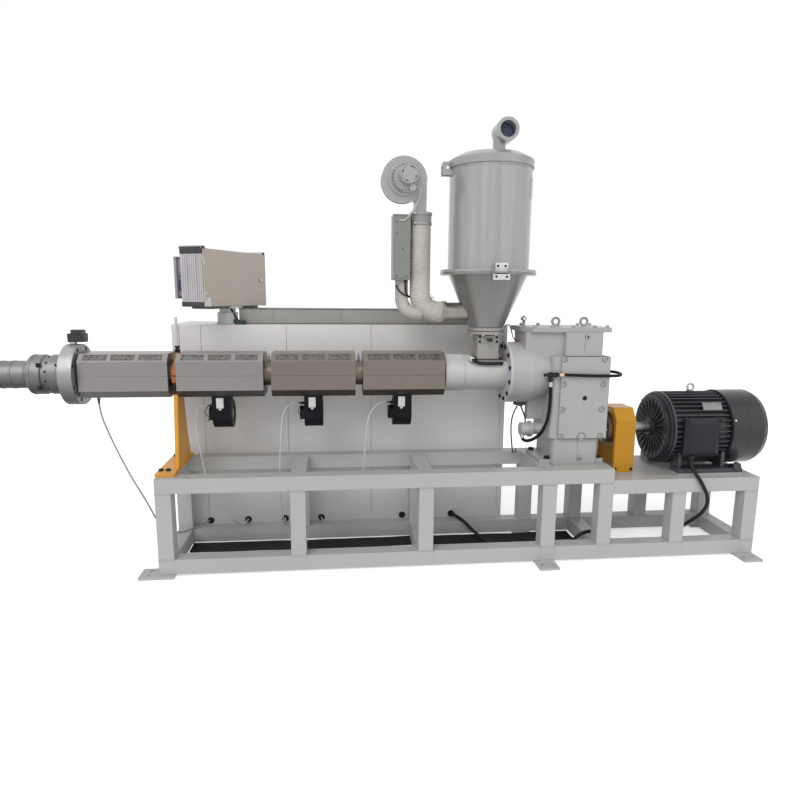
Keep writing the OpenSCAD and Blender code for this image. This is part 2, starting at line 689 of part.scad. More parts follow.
// Finned motor body with its feet, the pad of the terminal box and the eye bolt's boss
module motor_frame() {
    body_x = motor_x + 38;
    body_l = motor_l - cowl_l - 43;
    core = motor_d - 2 * fin_h;
    foot_z = low_h + motor_pad;
    eye_x = 3002;
    color("darkslategray") place() difference() {
        union() {
            along_x(body_x, axis_y, motor_z) cylinder(d = core, h = body_l);
            along_x(body_x, axis_y, motor_z) cylinder(d = motor_d, h = 13);
            for (i = [0:fin_n - 1]) along_x(body_x + 8, axis_y, motor_z)
                rotate([0, 0, (i + 0.5) * 360 / fin_n])
                translate([core / 2 - 5, -2.5, 0]) cube([fin_h + 5, 5, body_l - 16]);
            span([box_x, box_y + box_t, motor_z - 90],
                [box_x + box_l, axis_y - core / 2 + 20, motor_z + 70]);
            for (side = [-1, 1]) {
                translate([motor_foot_x,
                    axis_y + side * (motor_foot_y - motor_foot_w / 2) - motor_foot_w / 2, foot_z])
                    cube([motor_foot_l, motor_foot_w, 24]);
                for (x = [motor_foot_x + 10, motor_end - cowl_l - 44])
                    span([x, axis_y + side * 150 - 40, foot_z + 20],
                        [x + 20, axis_y + side * 150 + 40, motor_z - 110]);
            }
            translate([eye_x, axis_y, motor_z + core / 2 - 6]) cylinder(d = 44, h = fin_h + 10);
            along_y(eye_x, axis_y - 7, motor_z + motor_d / 2 + 26) rotate_extrude() translate([19, 7])
                circle(7, $fn = 24);
        }
        along_x(body_x - 1, axis_y, motor_z) cylinder(d = core - 60, h = body_l + 2);
        span([box_x, box_y - 20, motor_z - 130], [box_x + box_l, box_y + box_t, motor_z + 110]);
        for (side = [-1, 1], x = [motor_foot_x + 35, motor_foot_x + motor_foot_l - 38])
            translate([x, axis_y + side * 178, foot_z - 1]) cylinder(d = 19, h = 30);
    }
}

// Ribbed drive end shield with its bearing hub, and the rear shield inside the cowl
module motor_shields() {
    face_d = 368;
    ring_t = 36;
    rear_x = motor_l - cowl_l - 5;
    color("darkslategray") place() along_x(motor_x, axis_y, motor_z) difference() {
        union() {
            translate([0, 0, rear_x]) cylinder(d = cowl_d - 4 - 2 * run, h = 22);
            rotate_extrude() polygon([
                [0, -14], [44, -14], [50, -8], [52, 8], [face_d / 2 - 70, 14], [face_d / 2 - 12, 4],
                [face_d / 2, 4],
                [face_d / 2 + 4, 16], [motor_d / 2 - 8, 20], [motor_d / 2 - 6, ring_t], [0, ring_t]
            ]);
            for (a = [0:15:345]) rotate(a) translate([48, -3, 2]) cube([face_d / 2 - 62, 6, 14]);
        }
        translate([0, 0, -16]) cylinder(d = shaft_d + 2 * run, h = motor_l);
        for (a = [45:90:315]) rotate(a) translate([motor_d / 2 - 22, 0, 10])
            cylinder(d = 14, h = 12, $fn = 32);
    }
}

// Terminal box with a bevelled lid and the gland of the motor cable
module terminal_box() {
    z0 = motor_z - 119;
    z1 = motor_z + 91;
    bevel = 22;
    start = motor_route[0];
    color("darkslategray") place() {
        span([box_x, box_y + bevel, z0], [box_x + box_l, box_y + box_t, z1]);
        hull() {
            span([box_x - 4, box_y + bevel, z0 - 3], [box_x + box_l + 4, box_y + bevel + 6, z1 + 3]);
            span([box_x + bevel, box_y, z0 + bevel], [box_x + box_l - bevel, box_y + bevel, z1 - bevel]);
        }
        translate(start) cylinder(d = motor_cable_d + 14, h = z0 - start.z);
        translate([start.x, start.y, z0 - 8]) cylinder(d = motor_cable_d + 24, h = 8, $fn = 6);
    }
}

module fan_cowl() {
    cowl_x = motor_end - cowl_l;
    color("darkslategray") place() along_x(cowl_x, axis_y, motor_z) difference() {
        rotate_extrude() polygon([
            [cowl_d / 2 - 2, 0], [cowl_d / 2, 0], [cowl_d / 2, cowl_l - 40],
            [cowl_d / 2 - 12, cowl_l - 12], [cowl_d / 2 - 40, cowl_l], [30, cowl_l], [30, cowl_l - 2],
            [cowl_d / 2 - 41, cowl_l - 2], [cowl_d / 2 - 14, cowl_l - 13], [cowl_d / 2 - 2, cowl_l - 41]
        ]);
        for (i = [0:11]) rotate([0, 0, i * 30]) translate([60, -9, cowl_l - 6]) cube([100, 18, 12]);
    }
}

module motor_fan() {
    fan_x = motor_end - 150;
    color("black") place() along_x(fan_x, axis_y, motor_z) difference() {
        union() {
            cylinder(d = 110, h = 60);
            cylinder(d = 300, h = 5);
            for (i = [0:7]) rotate([0, 0, i * 45]) translate([50, -3, 0]) cube([110, 6, 60]);
        }
        translate([0, 0, -1]) cylinder(d = shaft_d, h = 62);
    }
}

// Sheet metal cabinet on a plinth, with door seams and cable holes
module cabinet() {
    groove = 4;
    seams = [40, 160, 640, 1130, cabinet_l - 30];
    y1 = cabinet_y + cabinet_d;
    color("whitesmoke") place() difference() {
        union() {
            span([0, cabinet_y, plinth_h], [cabinet_l, y1, cabinet_h]);
            span([20, cabinet_y + 30, 0], [cabinet_l - 20, y1 - 20, plinth_h]);
        }
        for (x = seams) span([x, cabinet_y - 1, plinth_h + 60],
            [x + 3, cabinet_y + groove, cabinet_h + 1]);
        for (x = cable_holes) along_y(x, cabinet_y - 1, cable_hole_h) cylinder(d = cable_hole_d, h = 30);
        for (x = [640, 1290]) span([x, y1 - groove, plinth_h + 20], [x + 3, y1 + 1, cabinet_h - 20]);
        span([-1, y1 - 60, plinth_h + 20], [groove, y1 - 57, cabinet_h - 20]);
    }
}

module cable_duct() {
    color("darkgray") place() difference() {
        span([361, cabinet_y + 120, cabinet_h], [cabinet_l - 60, cabinet_y + 300, cabinet_h + duct_h]);
        for (x = [560:400:1760])
            span([x, cabinet_y + 119, cabinet_h + 4], [x + 2, cabinet_y + 122, cabinet_h + duct_h + 1]);
    }
}

// Swivel stand: foot ring, wide drum, neck and the flat plate under the panel
module panel_stand() {
    top = panel_z - cabinet_h - run;
    color("whitesmoke") place() translate([stand_x, stand_y, cabinet_h]) {
        cylinder(d = 128, h = 10);
        cylinder(d = 116, h = top - 36);
        cylinder(d = 92, h = top - 12);
        translate([0, 0, top - 12]) cylinder(d = 170, h = 12);
    }
}

// Places things in the panel's own frame: x along its long side, y through it
module panel_frame() {
    place() translate([stand_x, stand_y, panel_z]) rotate([0, 0, panel_turn]) children();
}

// Grooved aluminium housing with black caps at its ends, open behind the door
module panel_housing() {
    l = panel_l / 2;
    t = panel_t / 2;
    cap = 30;
    wall_t = 12;
    color("silver") panel_frame() difference() {
        union() {
            span([-l, -t + 6, 0], [l, t, panel_h]);
            for (x = [-l - 3, l - cap])
                span([x, -t + 6, panel_h - 2], [x + cap + 3, t + 3, panel_h + 12]);
        }
        span([-l + wall_t, -t + 5, wall_t], [l - wall_t, t - 6, panel_h - wall_t]);
        span([-l + 60, t - 8, 50], [l - 60, t + 1, panel_h - 50]);
        for (side = [-1, 1], i = [0:6])
            span([side * l - 2, -t + 22 + i * 19, 40], [side * l + 2, -t + 26 + i * 19, panel_h - 40]);
    }
}

module panel_door() {
    l = panel_l / 2;
    t = panel_t / 2;
    color("tan") panel_frame() {
        span([-l + 6, -t, 4], [l - 2, -t + 5.5, panel_h - 4]);
        along_y(l - 40, -t - 6, panel_h / 2) cylinder(d = 24, h = 6);
        for (z = [40, panel_h - 70]) translate([-l, -t - 3, z]) cylinder(d = 12, h = 30);
        for (z = [40, panel_h - 70]) span([-l + 2, -t - 6, z], [-l + 16, -t, z + 30]);
    }
}

// Display on the operator's side: front frame and the deeper body behind it
module display_unit() {
    l = panel_l / 2;
    t = panel_t / 2;
    color("whitesmoke") panel_frame() {
        span([-l + 30, t, 56], [l - 76, t + 40, panel_h - 56]);
        span([-l + 14, t + 40, 42], [l - 60, t + 55, panel_h - 42]);
    }
}

// Barrel with its flange, the knuckle of the tilting hinge and the ears of the lid's hinge
module hopper_barrel() {
    r = hopper_d / 2;
    ear_x = lid_hinge_x - hopper_x;
    color("silver") place() difference() {
        translate([hopper_x, hopper_y, 0]) {
            rotate_extrude($fn = 96) polygon([
                [r - wall, joint_h + run], [joint_d / 2, joint_h + run], [joint_d / 2, barrel_z],
                [r, barrel_z], [r, barrel_top], [r - wall, barrel_top]
            ]);
            translate([-34, tilt_y - hopper_y, joint_h + 4]) cube([68, 22, 32]);
            along_x(-34, tilt_y - hopper_y, joint_h) cylinder(d = pin_d + 10, h = 68);
            for (side = [-1, 1]) {
                span([ear_x - 9, side * 28 - 5, barrel_top - 44],
                    [-r + 6, side * 28 + 5, barrel_top - 15]);
                span([ear_x - 9, side * 28 - 5, barrel_top - 30],
                    [ear_x + 9, side * 28 + 5, lid_hinge_z]);
                along_y(ear_x, side * 28 - 5, lid_hinge_z) cylinder(d = 18, h = 10);
            }
            along_y(ear_x, -36, lid_hinge_z) cylinder(d = pin_d - 4, h = 72);
        }
        along_x(hopper_x - 40, tilt_y, joint_h) cylinder(d = pin_d + 2 * run, h = 80);
    }
}

// Cone with its flange, the hole of the air duct and the pin that the barrel tilts on
module hopper_cone() {
    color("silver") place() difference() {
        translate([hopper_x, hopper_y, 0]) union() {
            rotate_extrude($fn = 96) polygon([
                [cone_d / 2 - wall, cone_h], [cone_d / 2, cone_h], [hopper_d / 2 - 6, joint_h - joint_t],
                [joint_d / 2, joint_h - joint_t], [joint_d / 2, joint_h],
                [hopper_d / 2 - wall - 6, joint_h]
            ]);
            translate([-46, tilt_y - hopper_y, joint_h - 46]) cube([92, 22, 30]);
            for (x = [-46, 36]) translate([x, tilt_y - hopper_y - 9, joint_h - 46]) cube([10, 21, 55]);
            along_x(-50, tilt_y - hopper_y, joint_h) cylinder(d = pin_d, h = 100);
        }
        along_x(hopper_x - 240, hopper_y, duct_z) cylinder(d = pipe_d - 8, h = 150);
    }
}

// Pressed dome lid with its rolled rim, hinge arm and the collar of the exhaust pipe
module hopper_lid() {
    r = hopper_d / 2;
    z = barrel_top + run;
    top = lid_top;
    color("silver") place() difference() {
        union() {
            translate([hopper_x, hopper_y, 0]) rotate_extrude($fn = 96) polygon([
                [0, top], [r * 0.45, top - 7], [r * 0.8, top - 22], [r + 2, z + 34], [r + 7, z + 30],
                [r + 7, z - 8],
                [r + 3, z - 8], [r + 3, z], [r - 14, z], [r - 14, z + 4], [r + 2, z + 4], [r + 2, z + 29],
                [r * 0.8, top - 26], [r * 0.45, top - 11], [0, top - 4]
            ]);
            translate([hopper_x + spout_dx, hopper_y, lid_top - 18]) cylinder(d = 92, h = 20);
            span([lid_hinge_x, hopper_y - 20, lid_hinge_z - 5],
                [hopper_x - r - 3, hopper_y + 20, lid_hinge_z + 11]);
            along_y(lid_hinge_x, hopper_y - 20, lid_hinge_z) cylinder(d = pin_d + 8, h = 40);
        }
        along_y(lid_hinge_x, hopper_y - 21, lid_hinge_z) cylinder(d = pin_d - 4 + 2 * run, h = 42);
    }
}

// Exhaust pipe with its open end turned to the front
module exhaust_elbow() {
    base = lid_top + 2;
    x = hopper_x + spout_dx;
    head_z = 2317;
    head_w = 118;
    color("silver") place() difference() {
        union() {
            translate([x, hopper_y, base]) cylinder(d = 66, h = head_z - base);
            translate([x, hopper_y, base]) cylinder(d = 88, h = 8);
            along_y(x + 28, hopper_y - 70, head_z) cylinder(d = head_w, h = 120);
        }
        along_y(x + 28, hopper_y - 71, head_z) cylinder(d = head_w - 34, h = 100);
    }
}

// Neck between cone and feed casting: gasket plate, sloped neck, slide gate and flanges
module hopper_base() {
    gate_z = axis_h + 168;
    half = 83;
    color("silver") place() translate([hopper_x, hopper_y, 0]) difference() {
        union() {
            translate([0, 0, cone_h - 16]) cylinder(d = cone_d + 14, h = 16);
            translate([0, 0, cone_h - 36]) cylinder(d = cone_d + 14, h = 16);
            translate([0, 0, gate_z + 40]) cylinder(d = 110, h = cone_h - gate_z - 44);
            translate([-60, -64, gate_z]) cube([120, 128, 42]);
            hull() {
                translate([-62, -66, seat_z + 12]) cube([124, 132, 12]);
                translate([-57, -60, gate_z - 4]) cube([114, 120, 8]);
            }
            translate([-half, -half, seat_z]) cube([2 * half, 2 * half, 13]);
            translate([-9, -100, gate_z + 14]) cube([18, 60, 10]);
            translate([-14, -112, gate_z + 11]) cube([28, 16, 16]);
        }
        translate([0, 0, seat_z - 1]) cylinder(d = 90, h = cone_h - seat_z + 2);
    }
}

// Pressed scroll that grows round the fan and leaves downwards
module blower_scroll() {
    depth = 92;
    r = blower_d / 2;
    growth = 14;
    last = 290;
    outlet = 58;
    bottom = 1893 - blower_h;
    spiral = [for (a = [0:10:last]) (r - growth * a / last) * [cos(a), sin(a)]];
    color("gainsboro") place() translate([blower_x, hopper_y + depth / 2, blower_h]) rotate([90, 0, 0]) {
        linear_extrude(depth)
            polygon(concat(spiral, [[r - outlet, bottom + 60], [r - outlet, bottom], [r, bottom]]));
        for (z = [0, depth - 4]) translate([0, 0, z]) linear_extrude(4)
            polygon([for (a = [0:10:360]) (r + 3 - growth * min(a, last) / last) * [cos(a), sin(a)]]);
    }
}

// Stepped front of the blower with the slotted cap of its motor
module blower_motor() {
    face = hopper_y - 46;
    color("gainsboro") place() {
        along_y(blower_x + 2, face - 10, blower_h + 2) cylinder(d = 168, h = 10);
        difference() {
            along_y(blower_x + 8, face - 26, blower_h + 6) cylinder(d = 146, h = 18);
            for (a = [0:15:345]) translate([blower_x + 8, face - 27, blower_h + 6]) rotate([0, a, 0])
                translate([62, 0, -3]) cube([6, 8, 6]);
        }
        difference() {
            along_y(blower_x + 19, face - 92, blower_h + 14) cylinder(d = 94, h = 70);
            for (a = [45:90:315]) translate([blower_x + 19, face - 93, blower_h + 14]) rotate([0, a, 0])
                translate([38, 0, -8]) cube([12, 10, 16]);
        }
    }
}

// Lagged pipe from the blower to the duct, and the thinner one below the heater box
module hot_air_pipe() {
    bend = 100;
    return_bend = 80;
    collar_h = 64;
    collar_z = 1829;
    return_x = pipe_x - 100;
    return_z = duct_z - 8;
    color("linen") place() {
        translate([pipe_x, hopper_y, duct_z + bend]) cylinder(d = pipe_d, h = collar_z - duct_z - bend);
        translate([pipe_x, hopper_y, collar_z]) cylinder(d = pipe_d + 4, h = collar_h);
        for (z = [collar_z, collar_z + collar_h - 14]) translate([pipe_x, hopper_y, z])
            cylinder(d = pipe_d + 10, h = 14);
        translate([pipe_x + bend, hopper_y, duct_z + bend]) rotate([90, 0, 0]) rotate([0, 0, 180])
            rotate_extrude(angle = 90) translate([bend, 0]) circle(d = pipe_d);
        along_x(pipe_x + bend, hopper_y, duct_z) cylinder(d = pipe_d, h = 34);
        translate([return_x, hopper_y, return_z + return_bend])
            cylinder(d = return_d, h = 1540 - return_z - return_bend);
        translate([return_x + return_bend, hopper_y, return_z + return_bend]) rotate([90, 0, 0])
            rotate([0, 0, 180])
            rotate_extrude(angle = 90) translate([return_bend, 0]) circle(d = return_d);
        along_x(return_x + return_bend, hopper_y, return_z) cylinder(d = return_d, h = 30);
    }
}

module air_duct() {
    start = pipe_x + 134;
    color("silver") place() difference() {
        union() {
            along_x(start, hopper_y, duct_z) cylinder(d = pipe_d - 10, h = 140);
            along_x(start, hopper_y, duct_z) cylinder(d = pipe_d + 4, h = 12);
        }
        translate([hopper_x, hopper_y, cone_h])
            cylinder(d1 = cone_d, d2 = hopper_d - 12, h = joint_h - joint_t - cone_h);
    }
}

// Sheet box of the air heater, with its lid seam
module heater_box() {
    z0 = 1540;
    z1 = 1878;
    x1 = pipe_x - pipe_d / 2 - 5 - run;
    color("darkgray") place() difference() {
        span([1232, hopper_y - 60, z0], [x1, hopper_y + 60, z1]);
        for (z = [z0 + 8, z1 - 10]) span([1231, hopper_y - 61, z], [x1 + 1, hopper_y - 58, z + 2]);
    }
}

// Tee at the gearbox and the union at its far side
module oil_fittings() {
    tee_x = 2092;
    x1 = gear_x + gear_l;
    back = hose_route[len(hose_route) - 1];
    color("dimgray") place() {
        along_x(tee_x - 20, hose_y, hose_z) cylinder(d = 22, h = hose_route[0].x - tee_x + 20);
        along_x(tee_x + 13, hose_y, hose_z) cylinder(d = 28, h = 14, $fn = 6);
        translate([tee_x, suction_route[0].y, suction_route[0].z])
            cylinder(d = 23, h = hose_z + 12 - suction_route[0].z);
        translate([tee_x, suction_route[0].y, suction_route[0].z + 6]) cylinder(d = 28, h = 14, $fn = 6);
        along_y(tee_x, hose_y, hose_z) cylinder(d = 20, h = suction_route[0].y - hose_y);
        along_y(gear_x + 16, hose_y, hose_z) cylinder(d = 16, h = axis_y - gear_d / 2 + 0.2 - hose_y);
        along_x(x1, back.y, back.z) cylinder(d = 24, h = back.x - x1, $fn = 6);
    }
}

module oil_hose() {
    color("black") place() tube_along(hose_route, hose_d, 10);
}

module suction_hose() {
    color("black") place() tube_along(suction_route, suction_d, 10);
}

module fan_lead_1() {
    color("lightgray") place() tube_along(fan_routes[0], fan_lead_d);
}

module fan_lead_2() {
    color("lightgray") place() tube_along(fan_routes[1], fan_lead_d);
}

module fan_lead_3() {
    color("lightgray") place() tube_along(fan_routes[2], fan_lead_d);
}

module head_lead() {
    color("gray") place() tube_along(head_route, head_lead_d);
}

module motor_cable() {
    color("black") place() tube_along(motor_route, motor_cable_d, 10);
}

frame_posts();
main_top_rails();
lower_rails();
cross_rails();
foot_plates();
machine_plates();
barrel_support();
support_clamp();
barrel();
head_flange();
head_adapter();
melt_sensor();
heater_covers();
cooling_blowers();
feed_casting();
gearbox_housing();
gearbox_cover();
gearbox_lid();
oil_pump();
coupling_guard();
coupling();
drive_shafts();
motor_frame();
motor_shields();
terminal_box();
fan_cowl();
motor_fan();
cabinet();
cable_duct();
panel_stand();
panel_housing();
panel_door();
display_unit();
hopper_barrel();
hopper_cone();
hopper_lid();
exhaust_elbow();
hopper_base();
blower_scroll();
blower_motor();
hot_air_pipe();
air_duct();
heater_box();
oil_fittings();
oil_hose();
suction_hose();
fan_lead_1();
fan_lead_2();
fan_lead_3();
head_lead();
motor_cable();
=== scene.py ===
from math import pi, radians

import bpy
import numpy as np
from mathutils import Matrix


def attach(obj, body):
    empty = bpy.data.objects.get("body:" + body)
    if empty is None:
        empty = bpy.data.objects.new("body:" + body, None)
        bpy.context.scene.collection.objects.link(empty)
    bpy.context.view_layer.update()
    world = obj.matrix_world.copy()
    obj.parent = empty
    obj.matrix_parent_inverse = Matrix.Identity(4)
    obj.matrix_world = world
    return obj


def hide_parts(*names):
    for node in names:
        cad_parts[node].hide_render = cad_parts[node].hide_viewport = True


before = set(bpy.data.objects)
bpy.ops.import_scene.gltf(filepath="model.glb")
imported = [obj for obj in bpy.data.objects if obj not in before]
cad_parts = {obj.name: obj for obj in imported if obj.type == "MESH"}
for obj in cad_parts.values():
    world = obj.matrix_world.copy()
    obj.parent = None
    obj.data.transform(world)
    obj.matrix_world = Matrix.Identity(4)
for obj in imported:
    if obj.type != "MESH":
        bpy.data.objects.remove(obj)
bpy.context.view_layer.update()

# The view. The machine is seen from its operator side by a camera a metre and a half above the floor,
# three and a half metres out, a little left of the middle and looking slightly right and down.
# Its lens is as wide as a telephone's, and the picture is 800 x 800.
view = bpy.data.objects.new("operator_side_view", bpy.data.cameras.new("operator_side_view"))
view.data.lens = 27.274
view.data.sensor_width = 36.0
view.location = (-0.352, -3.49013, 1.466)
view.rotation_euler = (radians(80.074), radians(-0.477), radians(-5.991))
bpy.context.scene.collection.objects.link(view)
bpy.context.scene.camera = view
bpy.context.scene.view_settings.view_transform = "Standard"

# Oil hoses of the gearbox. Black rubber over steel braid, 17 and 19 mm thick: one runs from the tee along
# the gearbox and loops back into the face towards the motor, the other hangs from the tee to the pump.
# They are pushed on steel tails and crimped, and their lengths follow their routes.
machine_middle = (1278.0, 425.0, 0.0)


def to_row(points):
    """Millimetres from the screw's own zero, made metres from the middle of the machine's length and
    width."""
    return (np.asarray(points, float) - machine_middle) / 1000.0


def smooth_route(points, steps):
    """The rounded line through every point: between two points it is the cubic whose slope at each is half
    the way from the point before to the point after."""
    p = np.asarray(points, float)
    p = np.vstack([2 * p[:1] - p[1:2], p, 2 * p[-1:] - p[-2:-1]])
    a, b, c, d = p[:-3, None], p[1:-2, None], p[2:-1, None], p[3:, None]
    t = (np.arange(steps) / steps)[None, :, None]
    line = b + 0.5 * t * (c - a + t * (2 * a - 5 * b + 4 * c - d + t * (3 * b - a - 3 * c + d)))
    return np.vstack([line.reshape(-1, 3), p[-2:-1]])


def ring(sides, sharp=0):
    """A round section of radius one. With sharp = 6 it is the hexagon round the same circle."""
    a = 2 * pi * (np.arange(sides) + 0.5) / sides
    r = 1.0 if not sharp else 1 / np.cos((a + pi / sharp) % (2 * pi / sharp) - pi / sharp)
    return np.stack([r * np.cos(a), r * np.sin(a)], 1)


def carried(path, section, size=1.0):
    """A section carried along a path: each row is the section, times its size there, laid in the plane across
    the path. Its first direction is square to the path and to one fixed line, which is the one that the path
    comes least near."""
    path = np.asarray(path, float)
    along = np.gradient(path, axis=0)
    along /= np.linalg.norm(along, axis=1)[:, None]
    steps = (-1, 0, 1)
    lines = np.array([(i, j, k) for i in steps for j in steps for k in (0, 1) if (i, j, k) != (0, 0, 0)],
                     float)
    lines = lines / np.linalg.norm(lines, axis=1)[:, None]
    apart = np.linalg.norm(np.cross(lines[:, None], along[None]), axis=2).min(1)
    side = np.cross(along, lines[apart.argmax()])
    side /= np.linalg.norm(side, axis=1)[:, None]
    up = np.cross(side, along)
    size = np.asarray(size, float).reshape(-1, 1, 1)
    return path[:, None] + size * (side[:, None] * section[None, :, :1] + up[:, None] * section[None, :, 1:])


def skin(name, rows, ends, sharp_from):
    """A mesh on rows of points, copies x rows x points. Neighbouring points and rows are joined by four-sided
    faces and each row runs round on itself. A fan to its middle closes the first and last row; with
    ends="loop" these two are joined instead, and with ends="open" the rows are a sheet. Faces are turned
    outwards by the sign of their volume, and edges bent by more than sharp_from degrees stay sharp."""
    rows = np.asarray(rows, float)
    rows = rows[None] if rows.ndim == 3 else rows
    k, m, n, _ = rows.shape
    number = np.arange(m * n).reshape(m, n)
    after = np.roll(number, -1, 1)
    quads = np.stack([number, np.roll(number, -1, 0), np.roll(after, -1, 0), after], -1)
    quads = quads if ends == "loop" else quads[:-1]
    quads = (quads[:, :-1] if ends == "open" else quads).reshape(-1, 4)
    points, fans = rows.reshape(k, m * n, 3), np.zeros((0, 3), int)
    if ends == "fan":
        points = np.concatenate([points, rows[:, [0, -1]].mean(2)], 1)
        fans = np.concatenate([
            np.stack([number[0], after[0], np.full(n, m * n)], -1),
            np.stack([after[-1], number[-1], np.full(n, m * n + 1)], -1)])
    step = points.shape[1] * np.arange(k)[:, None, None]
    p = to_row(points.reshape(-1, 3))
    quads, fans = (quads[None] + step).reshape(-1, 4), (fans[None] + step).reshape(-1, 3)
    corners = np.concatenate([quads[:, :3], quads[:, [0, 2, 3]], fans])
    a, b, c = p[corners[:, 0]], p[corners[:, 1]], p[corners[:, 2]]
    middle = p.mean(0)
    if ends != "open" and np.einsum("ij,ij->", a - middle, np.cross(b - middle, c - middle)) < 0:
        quads, fans = quads[:, ::-1], fans[:, ::-1]
    mesh = bpy.data.meshes.new(name)
    mesh.from_pydata(p.tolist(), [], quads.tolist() + fans.tolist())
    mesh.shade_smooth()
    mesh.set_sharp_from_angle(angle=radians(sharp_from))
    piece = bpy.data.objects.new(name, mesh)
    bpy.context.scene.collection.objects.link(piece)
    return piece


def add(name, rows, slot, material, body="machine", ends="fan", sharp_from=32):
    """Makes a piece of its rows and gives it its finish and the body that it moves with. The slot is not
    used.
    """
    piece = skin(name, rows, ends, sharp_from)
    piece.data.materials.append(material)
    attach(piece, body)
    return piece


def feed(tree, value, socket):
    """Links an output to a socket, or writes a plain value into it."""
    if isinstance(value, bpy.types.NodeSocket):
        tree.links.new(value, socket)
    else:
        socket.default_value = value


def put(tree, kind, inputs, output, **settings):
    """Adds a shader node with its settings and inputs, and gives back one of its outputs."""
    node = tree.nodes.new("ShaderNode" + kind)
    for setting, value in settings.items():
        setattr(node, setting, value)
    for socket, value in inputs.items():
        feed(tree, value, node.inputs[socket])
    return node.outputs[output]


def mixed(tree, factor, first, second, blend="MIX"):
    """The second colour laid over the first by a factor."""
    inputs = {"Factor": factor, "A": first, "B": second}
    return put(tree, "Mix", inputs, "Result", data_type="RGBA", blend_type=blend)


def calculate(tree, operation, first, second):
    """One operation on two numbers, such as MULTIPLY or GREATER_THAN."""
    return put(tree, "Math", {0: first, 1: second}, "Value", operation=operation)


def finish(name, colour, rough=0.5, metal=0.0, cloud=(4.0, 0.05), drawn=(1, 1, 1), grain=(400.0, 0.1),
           stretch=(1, 1, 1), edge=0.0, worn=None, coat=0.0, level=0.5, dust=0.0, underside_shade=0.0, floor_shade=0.0):
    """A finish from noise on the piece's own coordinates. Wide noise, cloudy or drawn out into streaks, makes
    the colour lighter and darker. Fine noise, stretched along the grain, lifts the surface and makes it
    duller or glossier. With an edge radius, edges catch the light as if rounded, and are mixed to the worn
    colour where the rounded normal leaves the flat one. Dust lies on faces that look up. Faces that look
    down, and what is near the floor, are darkened towards a deep shade of the colour: painted shade."""
    material = bpy.data.materials.new(name)
    material.use_nodes = True
    tree = material.node_tree
    place = put(tree, "TexCoord", {}, "Object")
    wide = put(tree, "Mapping", {"Vector": place, "Scale": drawn}, "Vector")
    cloudy = put(tree, "TexNoise", {"Vector": wide, "Scale": cloud[0], "Detail": 5.0}, "Fac")
    spread = put(tree, "MapRange", {"Value": cloudy, "From Min": 0.3, "From Max": 0.7}, "Result")
    dark, light = [c * (1 - cloud[1]) for c in colour], [min(1.0, c * (1 + cloud[1])) for c in colour]
    tone = mixed(tree, spread, (*dark, 1), (*light, 1))
    grained = put(tree, "Mapping", {"Vector": place, "Scale": stretch}, "Vector")
    fine = put(tree, "TexNoise", {"Vector": grained, "Scale": grain[0], "Detail": 3.0}, "Fac")
    change = 0.12
    duller, glossier = min(1.0, rough + change), max(0.05, rough - change)
    gloss = put(tree, "MapRange", {"Value": fine, "To Min": glossier, "To Max": duller}, "Result")
    lift = {"Height": fine, "Strength": grain[1], "Distance": 0.001}
    if edge:
        lift["Normal"] = put(tree, "Bevel", {"Radius": edge}, "Normal", samples=4)
    if edge and worn:
        flat = put(tree, "NewGeometry", {}, "True Normal")
        leaves = put(tree, "VectorMath", {0: lift["Normal"], 1: flat}, "Value", operation="DOT_PRODUCT")
        rub = put(tree, "MapRange", {"Value": leaves, "From Min": 0.97, "From Max": 0.80, "To Max": 0.7},
                  "Result")
        tone = mixed(tree, calculate(tree, "MULTIPLY", rub, spread), tone, (*worn, 1))
    # A deep shade of the colour, laid on faces that look down and on what is near the floor: painted shade.
    shade_colour = [c * 0.12 for c in colour]
    dust_and_shade = ((dust, (0.42, 0.41, 0.39), "NewGeometry", "Normal", 0.5, 1.0),
             (underside_shade, shade_colour, "NewGeometry", "Normal", 0.25, -0.75),
             (floor_shade, shade_colour, "TexCoord", "Object", 0.8, 0.1))
    for amount, tint, kind, source, low, high in dust_and_shade:
        if amount:
            height = put(tree, "SeparateXYZ", {"Vector": put(tree, kind, {}, source)}, "Z")
            ramp = {"Value": height, "From Min": low, "From Max": high, "To Max": amount}
            tone = mixed(tree, put(tree, "MapRange", ramp, "Result"), tone, (*tint, 1))
    shader = {"Base Color": tone, "Metallic": metal, "Roughness": gloss,
              "Normal": put(tree, "Bump", lift, "Normal"), "Coat Weight": coat, "Coat Roughness": 0.12,
              "Specular IOR Level": level}
    for socket, value in shader.items():
        feed(tree, value, tree.nodes["Principled BSDF"].inputs[socket])
    return material


def lay_cord(name, node, route, thick, slot, material, stiffness="medium"):
    """A free cord: its round section carried along its rounded route. It takes the place of its CAD node, if
    it has one."""
    line = smooth_route(route, 4)
    cord = add(name, carried(line, ring(14), thick / 2), slot, material, sharp_from=60)
    if node:
        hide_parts(node)


hose_rubber = finish("braided_hose_rubber", (0.006, 0.006, 0.0065), rough=0.42, cloud=(30, 0.3),
                     grain=(900, 0.5), stretch=(1, 1, 0.4), level=0.16)
oil_route = [
    (2128, 92, 1040), (2160, 92, 1040), (2200, 92, 1038), (2240, 92, 1037), (2280, 92, 1035),
    (2320, 92, 1034), (2360, 92, 1033), (2400, 92, 1033), (2437, 92, 1033), (2463, 97, 1033),
    (2486, 111, 1034), (2501, 134, 1036), (2506, 160, 1038), (2501, 186, 1040), (2486, 209, 1041),
    (2463, 226, 1042), (2441, 228, 1042)]
suction_route = [
    (2092, 112, 1000), (2092.2, 112, 965), (2094, 112, 930), (2094, 112, 895), (2093, 113, 860),
    (2090, 114, 825), (2086, 118, 790), (2079, 124, 757), (2068, 134, 724), (2053, 147, 695),
    (2034, 163, 672), (2013, 181, 656), (1995, 196, 650), (1982, 207, 655), (1977.5, 211.5, 666),
    (1977, 212, 675.3)]
lay_cord("return_hose", "oil_hose", oil_route, 17, "hose_black", hose_rubber)
lay_cord("pump_suction_hose", "suction_hose", suction_route, 19, "hose_black", hose_rubber)

